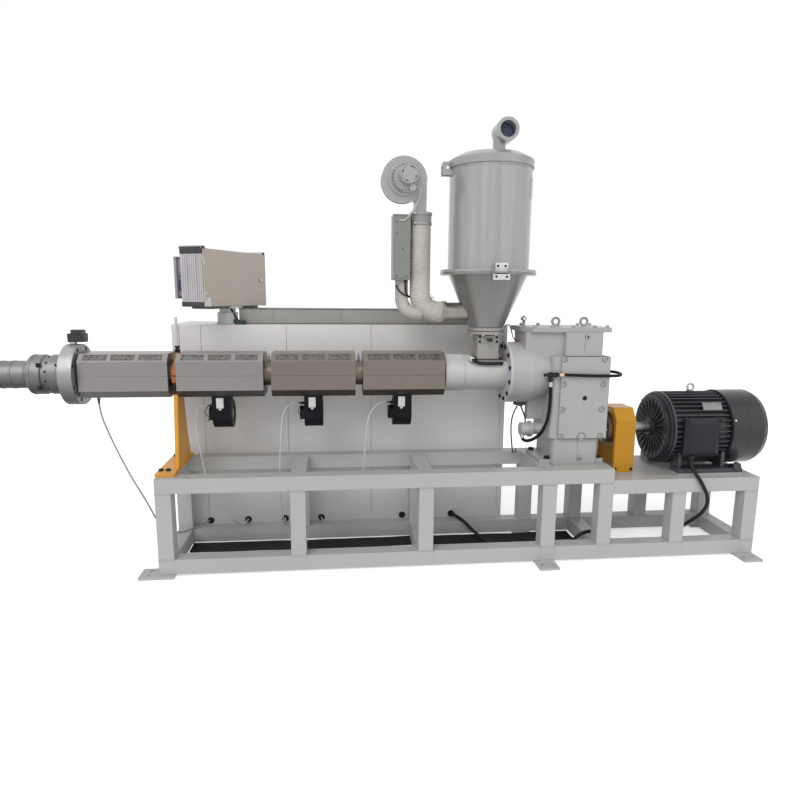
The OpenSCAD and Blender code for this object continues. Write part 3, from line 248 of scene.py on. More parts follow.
# Leads under the barrel. Pale grey PVC leads, 8 mm, run from the three cooling blowers down behind the
# top rail and into the cabinet's grommets; the head heater's lead is braided over, and thicker.
lead_jacket = finish("pale_lead_jacket", (0.62, 0.62, 0.60), rough=0.45, cloud=(12, 0.08), grain=(500, 0.1))
braid = finish("braided_lead", (0.33, 0.33, 0.32), rough=0.4, metal=0.5, cloud=(180, 0.3), grain=(700, 0.8),
               stretch=(1, 1, 3))
fan_routes = [
    [(254, 250, 860), (232, 250, 863), (208, 250, 862), (188, 250, 853), (174, 250, 834), (168, 250, 800),
     (168, 250, 750), (172, 252, 690), (180, 254, 615), (190, 257, 545), (201, 262, 479), (214, 272, 420),
     (232, 292, 350), (256, 322, 280), (285, 355, 215), (318, 392, 158), (348, 426, 122), (372, 458, 110),
     (386, 484, 114), (390, 506, 116), (390, 528, 116)],
    [(740, 250, 872), (716, 250, 875), (690, 250, 872), (664, 250, 859), (646, 250, 838), (634, 250, 808),
     (627, 250, 770), (622, 250, 725), (617, 251, 665), (612, 252, 600), (609, 254, 540), (608, 258, 480),
     (607, 268, 420), (606, 288, 350), (606, 316, 280), (607, 350, 215), (608, 388, 158), (609, 424, 122),
     (610, 458, 110), (610, 484, 114), (610, 506, 116), (610, 528, 116)],
    [(1226, 250, 872), (1202, 250, 875), (1176, 250, 871), (1150, 250, 857), (1128, 250, 836),
     (1112, 250, 808), (1101, 250, 772), (1094, 250, 732), (1089, 250, 685), (1085, 251, 635),
     (1081, 252, 580), (1077, 254, 525), (1072, 258, 476), (1058, 268, 420), (1030, 288, 355),
     (988, 316, 288), (938, 350, 225), (890, 388, 168), (856, 426, 124), (838, 458, 110), (830, 484, 114),
     (828, 506, 116), (828, 528, 116)]]
for number, route in enumerate(fan_routes, 1):
    lay_cord(f"blower_lead_{number}", f"fan_lead_{number}", route, 8, "lead_grey", lead_jacket,
             stiffness="limp")
head_route = [
    (-335, 270, 904), (-334, 270, 870), (-330, 270, 830), (-320, 270, 785), (-303, 270, 731),
    (-279, 270, 665), (-253, 270, 598), (-226, 270, 534), (-196, 270, 465), (-163, 272, 397),
    (-134, 276, 335), (-110, 284, 275), (-90, 296, 218), (-66, 314, 165), (-34, 336, 124), (4, 358, 103),
    (44, 384, 100), (84, 414, 101), (118, 444, 105), (146, 474, 112), (163, 502, 116), (169, 528, 116)]
lay_cord("braided_head_lead", "head_lead", head_route, 9, "lead_grey", braid)

# Motor cable. One black 20 mm cable drops from the terminal box over the rail, lies along the floor
# beside the bottom rails, passes over the cross rails in low humps and goes in at the cabinet's right.
cable_jacket = finish("black_cable_jacket", (0.010, 0.010, 0.011), rough=0.5, cloud=(9, 0.35),
                      grain=(260, 0.2), level=0.25)
jacketed = "hose_black", cable_jacket
motor_route = [
    (2905, 47, 563), (2905, 46, 548), (2906, 38, 530), (2910, 26, 513), (2914, 10, 498), (2920, -5, 481),
    (2936, -17, 454), (2958, -20, 415), (2977, -18, 380), (2990, -12, 342), (2996, 2, 300), (2991, 22, 262),
    (2978, 46, 225), (2955, 76, 186), (2924, 102, 145), (2884, 121, 100), (2836, 132, 56), (2780, 138, 24),
    (2716, 140, 11), (2640, 142, 11), (2566, 144, 22), (2508, 147, 62), (2462, 150, 100), (2402, 152, 112),
    (2342, 154, 100), (2296, 158, 62), (2238, 164, 22), (2160, 174, 11), (2060, 194, 11), (1960, 224, 11),
    (1872, 262, 12), (1798, 306, 24), (1740, 350, 58), (1698, 390, 96), (1668, 430, 111), (1648, 468, 115),
    (1635, 500, 116), (1631, 528, 116)]
lay_cord("motor_supply_cable", "motor_cable", motor_route, 20, *jacketed)


# The base frame. Square steel tube, 80 mm, mitred, welded and powder-coated pale grey as one
# piece; its foot plates are flame-cut, drilled for anchors and welded under the posts.
def dress(material, *nodes):
    """Puts a finish on pieces that come from the CAD model."""
    for node in nodes:
        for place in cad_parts[node].material_slots:
            place.material = material


def spots(x, y, z):
    """Points from their three coordinates, each of them a number or an array."""
    return np.stack(np.broadcast_arrays(x, y, z), -1).astype(float)


def beads(start, end, width, pitch):
    """Weld beads: a low round bead along a line, whose size swells and narrows once in each ripple's
    length."""
    start, end = np.asarray(start, float), np.asarray(end, float)
    length = np.linalg.norm(end - start, axis=1).max()
    t = np.linspace(0, 1, int(length / pitch) * 2 + 1)
    swell = width * (1 + 0.16 * np.cos(np.arange(len(t)) * pi))
    return np.stack([carried(a + (b - a) * t[:, None], ring(8), swell) for a, b in zip(start, end)])


frame_paint = finish("frame_powder_coat", (0.47, 0.467, 0.457), rough=0.42, cloud=(1.6, 0.035),
                     grain=(240, 0.12), edge=0.004, worn=(0.40, 0.39, 0.37), dust=0.10)
dress(frame_paint, "frame_posts", "main_top_rails", "lower_rails", "cross_rails", "foot_plates")
tube, far_rail = 80, 420
post_x = np.array([0, 680, 1360, 2040, 2362, 2790, 3220.0])
post_top = np.array([450, 450, 450, 450, 450, 386, 386.0])
post_foot = 94
seams = []
for front, rear in ((0, tube), (far_rail, far_rail + tube)):
    for height in (post_foot, post_top):
        for y in (front - 1, rear + 1):
            seams.append((spots(post_x + 3, y, height), spots(post_x + tube - 3, y, height)))
        for x in (post_x, post_x + tube):
            seams.append((spots(x, front + 3, height), spots(x, rear - 3, height)))
add("post_welds", beads(*np.concatenate(seams, 1), width=3.4, pitch=7.0), "frame_paint", frame_paint)

# Floor sleeve. A flat black woven sleeve with five leads side by side in it, laid on the floor behind the
# front bottom rail and under the cross rails, which hold it down; the leads show as ridges along it.
sleeve_y, half_width = 358, 64
across = np.linspace(-1, 1, 51)
crown = 2.5 + 7.5 * np.abs(np.cos(2.5 * pi * across)) ** 0.7
sleeve_x = np.linspace(84, 2352, 64)[:, None]
wander = 3.0 * np.sin(sleeve_x / 170.0) + 2.0 * np.sin(sleeve_x / 67.0)
top = spots(sleeve_x, sleeve_y + half_width * across + wander, crown + 0.8 * np.sin(sleeve_x / 41.0))
flat_side = spots(sleeve_x, sleeve_y - half_width * across + wander, 0.6)
sleeve_weave = finish("woven_sleeve", (0.010, 0.011, 0.014), rough=0.5, cloud=(9, 0.3), grain=(900, 0.5),
                      level=0.3)
add("floor_lead_sleeve", np.concatenate([top, flat_side], 1), "hose_black", sleeve_weave, sharp_from=50)

# Bed plates of gearbox and motor. Mild steel, 20 mm, with packing strips under the motor's feet, in a grey
# paint darker than the frame's, rubbed at its edges and dusty on top. Both machines are bolted down here.
to_right, to_left, to_front, to_top, to_floor = (1, 0, 0), (-1, 0, 0), (0, -1, 0), (0, 0, 1), (0, 0, -1)


def turned(centres, axis, outline, sides=24):
    """Turned pieces, one at each centre: every row of the outline gives a radius, a height along the axis
    and, where it is a hexagon, the number six. Each ring is the section at that height."""
    axis = np.asarray(axis, float) / np.linalg.norm(axis)
    side = np.cross(axis, (0.31, 0.52, 0.79))
    side /= np.linalg.norm(side)
    up = np.cross(axis, side)
    rows = np.stack([r * ring(sides, int(rest[0]) if rest else 0) for r, _, *rest in outline])
    height = np.array([row[1] for row in outline])[:, None, None]
    piece = rows[..., :1] * side + rows[..., 1:] * up + height * axis
    return np.atleast_2d(np.asarray(centres, float))[:, None, None] + piece[None]


def hex_bolt(d):
    """Bolt head on its washer: a flat round washer, then a hexagon drawn in to a round top."""
    return [(d * 0.66, -1), (d * 0.66, d * 0.1), (d * 0.5, d * 0.1, 6), (d * 0.5, d * 0.42, 6),
            (d * 0.46, d * 0.5), (d * 0.05, d * 0.5)]


plate_paint = finish("bed_plate_paint", (0.41, 0.395, 0.38), rough=0.4, cloud=(2.5, 0.05), grain=(160, 0.2),
                     edge=0.003, worn=(0.34, 0.33, 0.31), dust=0.12)
dress(plate_paint, "machine_plates")
oxide_black = finish("oxide_black_screws", (0.02, 0.02, 0.022), rough=0.38, metal=0.7, cloud=(60, 0.4),
                     grain=(500, 0.2))
blackened = "black_plastic", oxide_black
gear_feet = [(2113, 170, 552), (2413, 170, 552), (2085, 370, 552), (2413, 370, 552)]
add("gearbox_foot_bolts", turned(gear_feet, to_top, hex_bolt(30)), *blackened)
motor_feet = [(x, y, 503) for x in (2877, 3188) for y in (92, 448)]
add("motor_foot_bolts", turned(motor_feet, to_top, hex_bolt(30)), *blackened)


# Barrel support. A tapered web cut from 20 mm plate, welded to a foot plate and painted orange-yellow;
# the split ring round the barrel carries a lug, its screw and a long upright rod.
def slab(lo, hi, along=2, edge=1.5, corner=3.0, arc=3):
    """Blocks with soft edges: a rectangle with quarter-circle corners, carried along one direction and drawn
    in by the edge's size at both ends. Low and high corners may be lists, one block for each."""
    lo, hi = np.atleast_2d(np.asarray(lo, float)), np.atleast_2d(np.asarray(hi, float))
    u, v = [i for i in range(3) if i != along]
    quarter = np.repeat(np.arange(4), arc + 1)
    turn = np.tile(pi / 2 * np.arange(arc + 1) / arc, 4) + quarter * pi / 2
    inset = np.array([edge, 0, 0, edge])[:, None]
    rows = np.zeros((len(lo), 4, len(turn), 3))
    half, mid = (hi - lo)[:, None, None] / 2, (hi + lo)[:, None, None] / 2
    u_sign, v_sign = np.array([1, -1, -1, 1])[quarter], np.array([1, 1, -1, -1])[quarter]
    rows[..., u] = mid[..., u] + u_sign * (half[..., u] - corner) + np.cos(turn) * (corner - inset)
    rows[..., v] = mid[..., v] + v_sign * (half[..., v] - corner) + np.sin(turn) * (corner - inset)
    height = np.stack([lo[:, along], lo[:, along] + edge, hi[:, along] - edge, hi[:, along]], 1)
    rows[..., along] = height[:, :, None]
    return rows


support_paint = finish("support_orange_paint", (0.76, 0.345, 0.024), rough=0.42, cloud=(6, 0.10),
                       grain=(120, 0.2), edge=0.003, worn=(0.30, 0.16, 0.07), dust=0.06)
clamp_paint = finish("clamp_orange_paint", (0.50, 0.145, 0.017), rough=0.36, cloud=(9, 0.14),
                     grain=(120, 0.2), edge=0.003, worn=(0.20, 0.11, 0.06))
dress(support_paint, "barrel_support")
dress(clamp_paint, "support_clamp")
support_feet = [(x, y, 546) for x in (11, 47) for y in (105, 405)]
add("support_foot_bolts", turned(support_feet, to_top, hex_bolt(22)), *blackened)
lug_screw = [(12, 0), (14, 4, 6), (14, 17, 6), (9, 18), (9, 24), (13, 25), (13, 34), (10, 36)]
add("clamp_lug_screw", turned((85, 270, 1149), to_top, lug_screw), *blackened)
rod = [(6.5, 0), (6.5, 3), (6.2, 4), (6.2, 148), (5.4, 151)]
pale_tube = finish("pale_grey_tube", (0.55, 0.55, 0.54), rough=0.35, cloud=(20, 0.06), grain=(500, 0.1))
add("clamp_upright_rod", turned((85, 270, 1184), to_top, rod), "lead_grey", pale_tube)
grip = slab([(74, 176, 938), (78, 168, 950)], [(97, 228, 986), (93, 178, 972)], along=1, edge=3, corner=5)
add("clamp_lower_grip", grip, *blackened)
foot_welds = beads([(74, 140, 547), (96, 140, 547)], [(74, 405, 547), (96, 405, 547)], width=4.0, pitch=5.0)
add("web_foot_welds", foot_welds, "support_paint", support_paint)

# The barrel and its head. Nitrided steel, turned and ground; the thick flange ring is paler and pulled up
# by sunk cap screws, the adapter and the outlet neck have turned bands, clamp lugs and a strap screw.
axis_y, screw_h = 270, 1035


def turned_steel(name, colour, rough, fine=500, underside_shade=0.9, metal=0.85):
    """Turned steel: thin tool rings round the machine's long axis, from noise stretched across it, over
    cloudy wear. Faces that look down are darkened: painted shade and a painted dark reflection of the floor."""
    return finish(name, colour, rough=rough, metal=metal, cloud=(8, 0.16), grain=(fine, 0.22),
                  stretch=(1, 0.05, 0.05), edge=0.0015, underside_shade=underside_shade)


def circle(x, y, z, radius, count, first=0.0):
    """Places spread evenly round a circle that faces along the machine, from a first angle off the
    vertical."""
    a = first + 2 * pi * np.arange(count) / count
    return spots(x, y + radius * np.sin(a), z + radius * np.cos(a))


def socket_screw(d):
    """Cap screw: a round head with a chamfer and a six-sided socket sunk in it."""
    return [(d / 2, -2), (d / 2, d * 0.56), (d * 0.44, d * 0.62), (d * 0.27, d * 0.62, 6),
            (d * 0.26, d * 0.30, 6), (d * 0.02, d * 0.27)]


# All turned steel is darkened on faces that look down, the head ring and adapter fully: painted shade.
dress(turned_steel("nitrided_barrel", (0.20, 0.17, 0.14), 0.34), "barrel")
dress(turned_steel("head_ring_steel", (0.42, 0.425, 0.43), 0.44, underside_shade=1.0, metal=0.55), "head_flange")
adapter_steel = turned_steel("adapter_steel", (0.24, 0.24, 0.245), 0.46, underside_shade=1.0, metal=0.6)
dress(adapter_steel, "head_adapter")
ring_screws = circle(-414, axis_y, screw_h, 138, 8, radians(22.5))
add("head_flange_screws", turned(ring_screws, to_right, socket_screw(18), sides=18), *blackened)
clamp_screws = circle(-558, axis_y, screw_h, 94, 12, radians(15))
small_cap = [(6.5, 0), (6.5, 9), (5.5, 10), (3, 10, 6), (3, 7, 6)]
add("adapter_clamp_screws", turned(clamp_screws, to_right, small_cap, sides=12), *blackened)
for name, places, radius, width, sides in (("adapter_strap", (-640, -498), 105.4, 11.5, 96),
                                           ("neck_bands", (-800, -742, -676), 73.9, 7.5, 72)):
    band = [(radius - 0.8, -1), (radius, 0.5), (radius, width), (radius - 0.8, width + 1.5)]
    band = turned([(x, axis_y, screw_h) for x in places], to_right, band, sides)
    add(name, band, "bright_steel", adapter_steel, ends="loop")
lugs = slab([(-593, 171, 1083), (-596, 174, 962)], [(-574, 190, 1104), (-577, 192, 983)], along=1, edge=2,
            corner=4)
add("adapter_clamp_lugs", lugs, *blackened)
add("adapter_strap_screw", turned((-497, 184, 1091), (0, -1, 0.4), socket_screw(14), sides=16), *blackened)

# Melt pressure sensor. A plated union nut holds its stem in the ring; the moulded black connector head
# has a lip round its cover and four small cover screws.
black_plastic = finish("black_moulded_plastic", (0.018, 0.018, 0.02), rough=0.48, cloud=(14, 0.25),
                       grain=(700, 0.25))
moulded = "black_plastic", black_plastic
zinc = finish("zinc_plated_steel", (0.52, 0.52, 0.50), rough=0.3, metal=1.0, cloud=(35, 0.12),
              grain=(600, 0.15))
plated = "fitting_steel", zinc
dress(black_plastic, "melt_sensor")
cover_screws = [(x, y, 1249) for x in (-450, -382) for y in (250, 290)]
pan_head = [(4, -1), (4, 1.6), (3, 2.4), (0.6, 2.0)]
add("sensor_cover_screws", turned(cover_screws, to_top, pan_head, sides=12), *plated)
add("sensor_head_lip", slab((-460, 242, 1241), (-372, 298, 1248), corner=4, edge=1.5), *moulded)
union_nut = [(17, 0, 6), (18, 1, 6), (18, 12, 6), (15, 14)]
add("sensor_union_nut", turned((-440, 270, 1196), to_top, union_nut), *plated)


# Heater covers. Folded stainless sheet, brushed lengthways, in halves that meet in a riveted seam at
# mid-height; each cover has three fields of expanded mesh in each of its upper chamfers.
def within(tree, low, high):
    """One inside a box given by two corners in millimetres, and nought outside: the product of a step for
    each side."""
    place = put(tree, "TexCoord", {}, "Object")
    inside = 1.0
    for bound, operation in ((to_row(low), "GREATER_THAN"), (to_row(high), "LESS_THAN")):
        for letter, limit in zip("XYZ", bound):
            step = calculate(tree, operation, put(tree, "SeparateXYZ", {"Vector": place}, letter), limit)
            inside = calculate(tree, "MULTIPLY", inside, step)
    return inside


def tinted(material, factor, colour, blend="MIX"):
    """Lays a colour over a finish by a factor, or multiplies the finish by it."""
    tree = material.node_tree
    socket = tree.nodes["Principled BSDF"].inputs["Base Color"]
    feed(tree, mixed(tree, factor, socket.links[0].from_socket, (*colour, 1), blend), socket)


def banded(material, colour, low, high, blend="MIX"):
    """Changes a finish inside a box: there the colour is swapped for another one, or multiplied by it."""
    tinted(material, within(material.node_tree, low, high), colour, blend)


def mesh_field(x0, side):
    """Expanded metal: a sheet laid on the 45-degree chamfer whose height is the product of two waves that
    cross at an angle, so that strands stand proud round sunk diamonds."""
    cover_width, chamfer_leg, slope = 230, 38, np.sqrt(0.5)
    diamond_length, diamond_width, strand, sunk = 9.0, 7.0, 1.6, 2.8
    u, v = np.meshgrid(np.linspace(0, 118, 64), np.linspace(-19, 19, 22), indexing="ij")
    forth, back = u / diamond_length + v / diamond_width, u / diamond_length - v / diamond_width
    down = sunk - strand * np.abs(np.sin(pi * forth)) * np.abs(np.sin(pi * back))
    middle = (cover_width - chamfer_leg) / 2
    return spots(x0 + u, axis_y + side * middle + side * slope * (v - down),
                 screw_h + middle - slope * (v + down))


# The covers' faces that look down are darkened: painted shade and a painted dark reflection.
cover_steel = finish("brushed_cover_sheet", (0.30, 0.276, 0.276), rough=0.36, metal=0.9, cloud=(3.0, 0.10),
                     drawn=(0.3, 1, 1), grain=(420, 0.12), stretch=(0.04, 1, 1), edge=0.002,
                     worn=(0.50, 0.48, 0.45), underside_shade=0.8)
# The covers of the two zones nearest the drive have gone a straw brown.
banded(cover_steel, (0.77, 0.73, 0.62), (584, -500, 0), (1612, 1200, 3000), blend="MULTIPLY")
dress(cover_steel, "heater_covers")
mesh_metal = finish("expanded_mesh", (0.14, 0.135, 0.13), rough=0.4, metal=0.9, cloud=(160, 0.8),
                    grain=(300, 0.3), level=0.3)
zone_x = np.array([-388, 98, 584, 1070.0])
fields = np.stack([mesh_field(x + offset, side)
                   for x in zone_x for offset in (25.5, 163.5, 301.5) for side in (-1, 1)])
add("cover_mesh_fields", fields, "cover_steel", mesh_metal, ends="open", sharp_from=80)
rivets = [(x + offset, 156.0, z) for x in zone_x for offset in (14, 222, 431) for z in (1026, 1044)]
rivet = [(3.4, 0), (3.2, 1.2), (1.8, 2.0)]
add("cover_seam_rivets", turned(rivets, to_front, rivet, sides=10), "cover_steel", cover_steel)
thermocouple = [(9, 0, 6), (9, 12, 6), (5, 13), (5, 34), (3, 36), (3, 46)]
between_covers = spots(zone_x[1:3] + 465, axis_y, 1099)
add("barrel_thermocouples", turned(between_covers, to_top, thermocouple, sides=12), *plated)


# Cooling blowers. Drum blowers of black steel sheet hung under three zones; each carries a pale
# terminal cap at its top, louvres in its front, a finger grille and the black loops of its motor leads.
def hoop(radius, thick, sides=8):
    """A ring's outline for a turned piece: a circle of the wire's half thickness at the ring's radius."""
    return [(radius + thick * c, thick * s) for c, s in ring(sides)]


dress(finish("blower_black_enamel", (0.0065, 0.006, 0.0095), rough=0.4, cloud=(10, 0.3), grain=(300, 0.2),
             edge=0.0015, worn=(0.05, 0.05, 0.06), level=0.12), "cooling_blowers")
fan_x = np.array([266, 752, 1238.0])
cap_low = spots(fan_x + 24, 186, 857)
pale_cap = finish("pale_terminal_cap", (0.60, 0.60, 0.60), rough=0.5, cloud=(40, 0.12), grain=(300, 0.2))
pale = "white_paint", pale_cap
add("blower_terminal_caps", slab(cap_low, cap_low + (38, 11, 56), along=1, corner=3, edge=2), *pale)
tail_low = cap_low + (12, 3, -11)
add("blower_terminal_tails", slab(tail_low, tail_low + (14, 7, 13), along=1, corner=2, edge=1), *pale)
loop = [(4, 190, 884), (-12, 186, 876), (-26, 184, 856), (-30, 184, 834), (-20, 186, 814), (2, 192, 806)]
tail = [(2, 196, 836), (-6, 192, 822), (-12, 190, 806), (-22, 190, 792)]
for name, line, half in (("blower_motor_loops", loop, 1.9), ("blower_motor_tails", tail, 3.2)):
    leads = [carried(smooth_route(np.array(line) + (x, 0, 0), 5), ring(8), half) for x in fan_x]
    add(name, np.stack(leads), *jacketed)
grille = spots(fan_x + 94, axis_y, 815)
for radius in (12, 22, 32):
    finger_ring = turned(grille + (0.5, 0, 0), to_right, hoop(radius, 1.3, 6), sides=32)
    add(f"blower_finger_ring_{radius}", finger_ring, *plated, ends="loop", sharp_from=80)
bars = [carried(np.array([middle - bar, middle + bar]), ring(6), 1.3)
        for middle in grille for bar in ((0, 37, 0), (0, 0, 37))]
add("blower_grille_bars", np.stack(bars), *plated)
boot = [(6.0, 0), (6.4, 2), (5.4, 10), (4.6, 20), (4.3, 24)]
lead_starts = [route[0] for route in fan_routes]
add("lead_relief_sleeves", turned(lead_starts, (-1, 0, 0.06), boot, sides=16), "hose_black", black_plastic)
boot = [(8, 0), (8, 4), (6.4, 14), (5.6, 26), (5.0, 32)]
add("head_lead_relief", turned((-335, 270, 906), to_floor, boot, sides=16), "hose_black", black_plastic)

# Feed section. A grey-white painted casting with a turned collar; the face of its bolted flange is left
# in purplish primer, and twelve black cap screws pull it onto the thrust housing of the gearbox.
# Both castings are darkened a little on faces that look down: painted shade.
casting_paint = dict(rough=0.38, cloud=(5, 0.05), grain=(110, 0.55), edge=0.004, worn=(0.36, 0.35, 0.33),
                     underside_shade=0.35)
feed_paint = finish("feed_casting_paint", (0.56, 0.56, 0.545), **casting_paint)
banded(feed_paint, (0.52, 0.485, 0.545), (1864, -500, 0), (1868.5, 900, 3000))
dress(feed_paint, "feed_casting")
flange_screws = circle(1874, axis_y, screw_h, 150, 12, radians(15))
add("flange_cap_screws", turned(flange_screws, to_left, socket_screw(24), sides=18), *blackened)
cooling_route = [(1664, 178, 1116), (1676, 172, 1110), (1692, 170, 1102), (1712, 170, 1096),
                 (1740, 170, 1094), (1780, 170, 1094), (1815, 171, 1094), (1832, 178, 1094),
                 (1838, 196, 1094)]
add("feed_cooling_pipe", carried(smooth_route(cooling_route, 5), ring(14), 8.5), *jacketed)
pipe_union = [(9, -6), (13, -6, 6), (13, 10, 6), (10, 12), (10, 26)]
add("cooling_pipe_unions", turned((1664, 180, 1116), (-0.2, 0.9, -0.4), pipe_union), *plated)
seam_ring = turned((1624, axis_y, screw_h), to_right, [(102.6, 0), (103.6, 1), (103.6, 3), (99, 3.6)],
                   sides=96)
add("collar_seam_ring", seam_ring, "gear_paint", feed_paint, ends="loop")

# Gearbox. Sand-cast iron, filled, sprayed grey-white and scuffed at its edges: thrust drum, body with
# a bolted front cover, sump, and a lid with lifting eyes; the joints are sealed and bolted flat.
gear_paint = finish("gearbox_casting_paint", (0.455, 0.455, 0.443), **casting_paint)
banded(gear_paint, (0.33, 0.33, 0.32), (1900, -100, 1316), (2500, 700, 1420))
dress(gear_paint, "gearbox_housing", "gearbox_cover", "gearbox_lid", "oil_pump")
cast = "gear_paint", gear_paint
# One black for the sealant in real joints, also used as painted shade in the blowers' slots and the duct's
# gaps.
sealant_and_shade_black = finish("sealant_and_painted_shade", (0.10, 0.10, 0.10), rough=0.6, cloud=(40, 0.4), grain=(500, 0.3))
sealant_and_shade = "black_plastic", sealant_and_shade_black
cover_bolts = [(x, 115, z) for x in (2163, 2391) for z in (690, 843, 984, 1123)]
pocket_screw = [(13, 0), (13, 7), (11, 8.6), (7, 8.6, 6), (6.6, 3.4, 6)]
add("cover_pocket_screws", turned(cover_bolts, to_front, pocket_screw), *cast)
sight_plug = [(13.5, 0), (13.5, 5.4), (12, 6.8), (7.4, 6.8, 6), (7, 3, 6)]
add("cover_sight_plug", turned((2289, 111, 908), to_front, sight_plug), *blackened)
drain_boss = [(21, 0), (21, 4.5), (19, 6), (10, 6), (10, 10, 6), (9, 10.6, 6)]
add("cover_drain_boss", turned((2283, 112, 688), to_front, drain_boss), *cast)
plugs = np.array([(2292, 126, 1244), (2287, 130, 561)])
level_plug = [(8.6, -2), (8.6, 7), (14, 7), (14, 9.5), (12, 10.5), (6, 10.5, 6), (5.5, 6, 6)]
add("level_plugs", turned(plugs, to_front, level_plug), *cast)
plug_socket = turned(plugs - (0, 6.4, 0), to_front, [(4.6, 0, 6), (4.4, 0.8, 6)], sides=12)
add("level_plug_sockets", plug_socket, *blackened)
add("level_plug_seals", turned(plugs - (0, 7.6, 0), to_front, hoop(14.2, 1.1, 6), sides=32), *sealant_and_shade,
    ends="loop")
old_holes = [(2285, 120, 1206), (2291, 124, 578)]
add("stopped_holes", turned(old_holes, to_front, [(9.3, -4), (9.3, 0.15), (9, 0.3)]), *cast)
lid_screws = [(x, y, 1293) for x in (2000, 2100, 2220, 2340, 2412) for y in (148, 392)]
add("lid_screws", turned(lid_screws, to_top, socket_screw(20)), *cast)
parting = slab([(2276, 119.4, 1150), (2270, 123.2, 545)], [(2277.2, 120.6, 1262), (2271.2, 124.6, 672)],
               edge=0.3, corner=0.4)
add("casting_parting_lines", parting, *sealant_and_shade)
joints = [(2160, 119.6, 1138.2), (2420, 119.6, 1138.2)], [(2152, 105.6, 678.8), (2422, 105.6, 678.8)]
add("casting_joint_lines", np.stack([carried(line, ring(6), 1.6) for line in joints]), *sealant_and_shade)
pump_screw = [(4, -1), (4, 5), (3.4, 5.6), (2, 5.6, 6), (2, 3, 6)]
add("pump_flange_screws", turned(circle(2017, 230, 712, 42, 6), to_left, pump_screw, sides=12), *plated)
end_plate = [(33, 0), (33, 2.5), (31, 3.5), (17, 3.5), (15, 6), (6, 6.5)]
add("pump_end_plate", turned((1968.5, 230, 712), to_left, end_plate, sides=48), *cast)
breather = [(17.4, 35.5), (17.4, 48), (16, 51), (7, 53)]
add("breather_cap", turned((1976, axis_y, 1293), to_top, breather), *plated)

# Oil connections. Black-finished steel tee and unions, with crimped ferrules on the hose tails: one of
# brass colour where the upper hose leaves the tee, zinc elsewhere. A switch under the drum has two leads.
dress(oxide_black, "oil_fittings")
brass = finish("plated_ferrule", (0.56, 0.47, 0.30), rough=0.28, metal=1.0, cloud=(60, 0.15),
               grain=(500, 0.2))
ferrule = [(9.2, 0), (11.2, 0.6), (11.2, 7), (10.4, 8), (11.2, 9), (11.2, 16), (10.4, 17), (11.2, 18),
           (11.2, 26), (9.2, 27)]
wide_ferrule = [(r + 1, h) for r, h in ferrule]
add("upper_hose_ferrule", turned((2129, 92, 1040), (1, 0, -0.01), ferrule), "fitting_steel", brass)
add("far_hose_ferrule", turned((2441, 228.5, 1042), (1, -0.18, 0.0), ferrule[:-3] + [(9.2, 20)]), *plated)
add("lower_hose_ferrule", turned((2092.2, 112, 999), (0.02, 0, -1), wide_ferrule), *plated)
end_plug = [(9, -4), (9, 2), (11, 2, 6), (11, 12, 6), (7, 13), (7, 26), (9, 27), (9, 33), (4, 34)]
add("tee_end_plug", turned((2079, 92, 1040), to_left, end_plug), *blackened)
hose_union = [(12, -4, 6), (12, 4, 6), (10.6, 5), (10.6, 12), (9.7, 12.5)]
add("pump_hose_ferrule", turned((1977, 212, 677), to_floor, hose_union), *plated)
switch = slab([(1938, 246, 846), (1962, 256, 838)], [(2000, 292, 868), (1988, 284, 850)], corner=4, edge=2)
add("drum_switch", switch, *moulded)
pump_lead = [(1978, 268, 840), (1984, 262, 822), (1992, 252, 800), (1998, 244, 778), (1999, 238, 758),
             (1999, 234, 746)]
lay_cord("pump_switch_lead", None, pump_lead, 9, *jacketed)
frame_lead = [(1958, 268, 840), (1944, 268, 812), (1931, 268, 772), (1926, 268, 724), (1929, 270, 672),
              (1936, 276, 622), (1946, 292, 580), (1962, 330, 548), (1985, 378, 536), (2010, 430, 533),
              (2020, 470, 533)]
lay_cord("switch_frame_lead", None, frame_lead, 8, *jacketed)
probe_jacket = finish("probe_lead_jacket", (0.016, 0.016, 0.017), rough=0.5, cloud=(9, 0.35),
                      grain=(260, 0.2))
banded(probe_jacket, (0.35, 0.02, 0.05), (1934, 200, 1100), (2100, 400, 1400))
probe_lead = [(1862, 292, 1268), (1876, 294, 1292), (1892, 296, 1300), (1906, 298, 1290), (1916, 298, 1262),
              (1924, 296, 1232), (1936, 290, 1216), (1956, 282, 1210), (1976, 276, 1209)]
lay_cord("temperature_probe_lead", None, probe_lead, 6, "hose_black", probe_jacket)

# Coupling and its guard. Cast-iron halves with a rubber element on keyed steel shafts, behind a
# folded 4 mm guard in yellow paint, which is bolted on through the lower edges of its sides.
motor_h = 704
dress(finish("guard_yellow_paint", (0.54, 0.25, 0.004), rough=0.27, cloud=(4, 0.07), grain=(150, 0.15),
             edge=0.003, worn=(0.35, 0.20, 0.05), level=0.35), "coupling_guard")
dress(finish("coupling_cast_iron", (0.16, 0.10, 0.07), rough=0.5, metal=0.7, cloud=(9, 0.3), grain=(130, 0.5),
             edge=0.003), "coupling")
dress(turned_steel("shaft_steel", (0.38, 0.38, 0.38), 0.3, fine=700), "drive_shafts")
for side, y, facing in (("front", 149.6, to_front), ("rear", 390.4, (0, 1, 0))):
    guard_bolts = [(x, y, 484) for x in (2515, 2609)]
    add(f"guard_bolts_{side}", turned(guard_bolts, facing, hex_bolt(13), sides=12), *blackened)
rubber = finish("coupling_rubber", (0.05, 0.012, 0.01), rough=0.6, cloud=(20, 0.2), grain=(300, 0.2))
rubber_ring = turned((2537, axis_y, motor_h), to_right, [(78, 0), (84, 0.4), (84, 6.2), (78, 6.6)], sides=96)
add("coupling_rubber_ring", rubber_ring, "coupling_iron", rubber, "drive", ends="loop")
pins = turned(circle(2477, axis_y, motor_h, 62, 8), to_left, hex_bolt(16), sides=12)
add("coupling_pins", pins, "bright_steel", zinc, "drive")

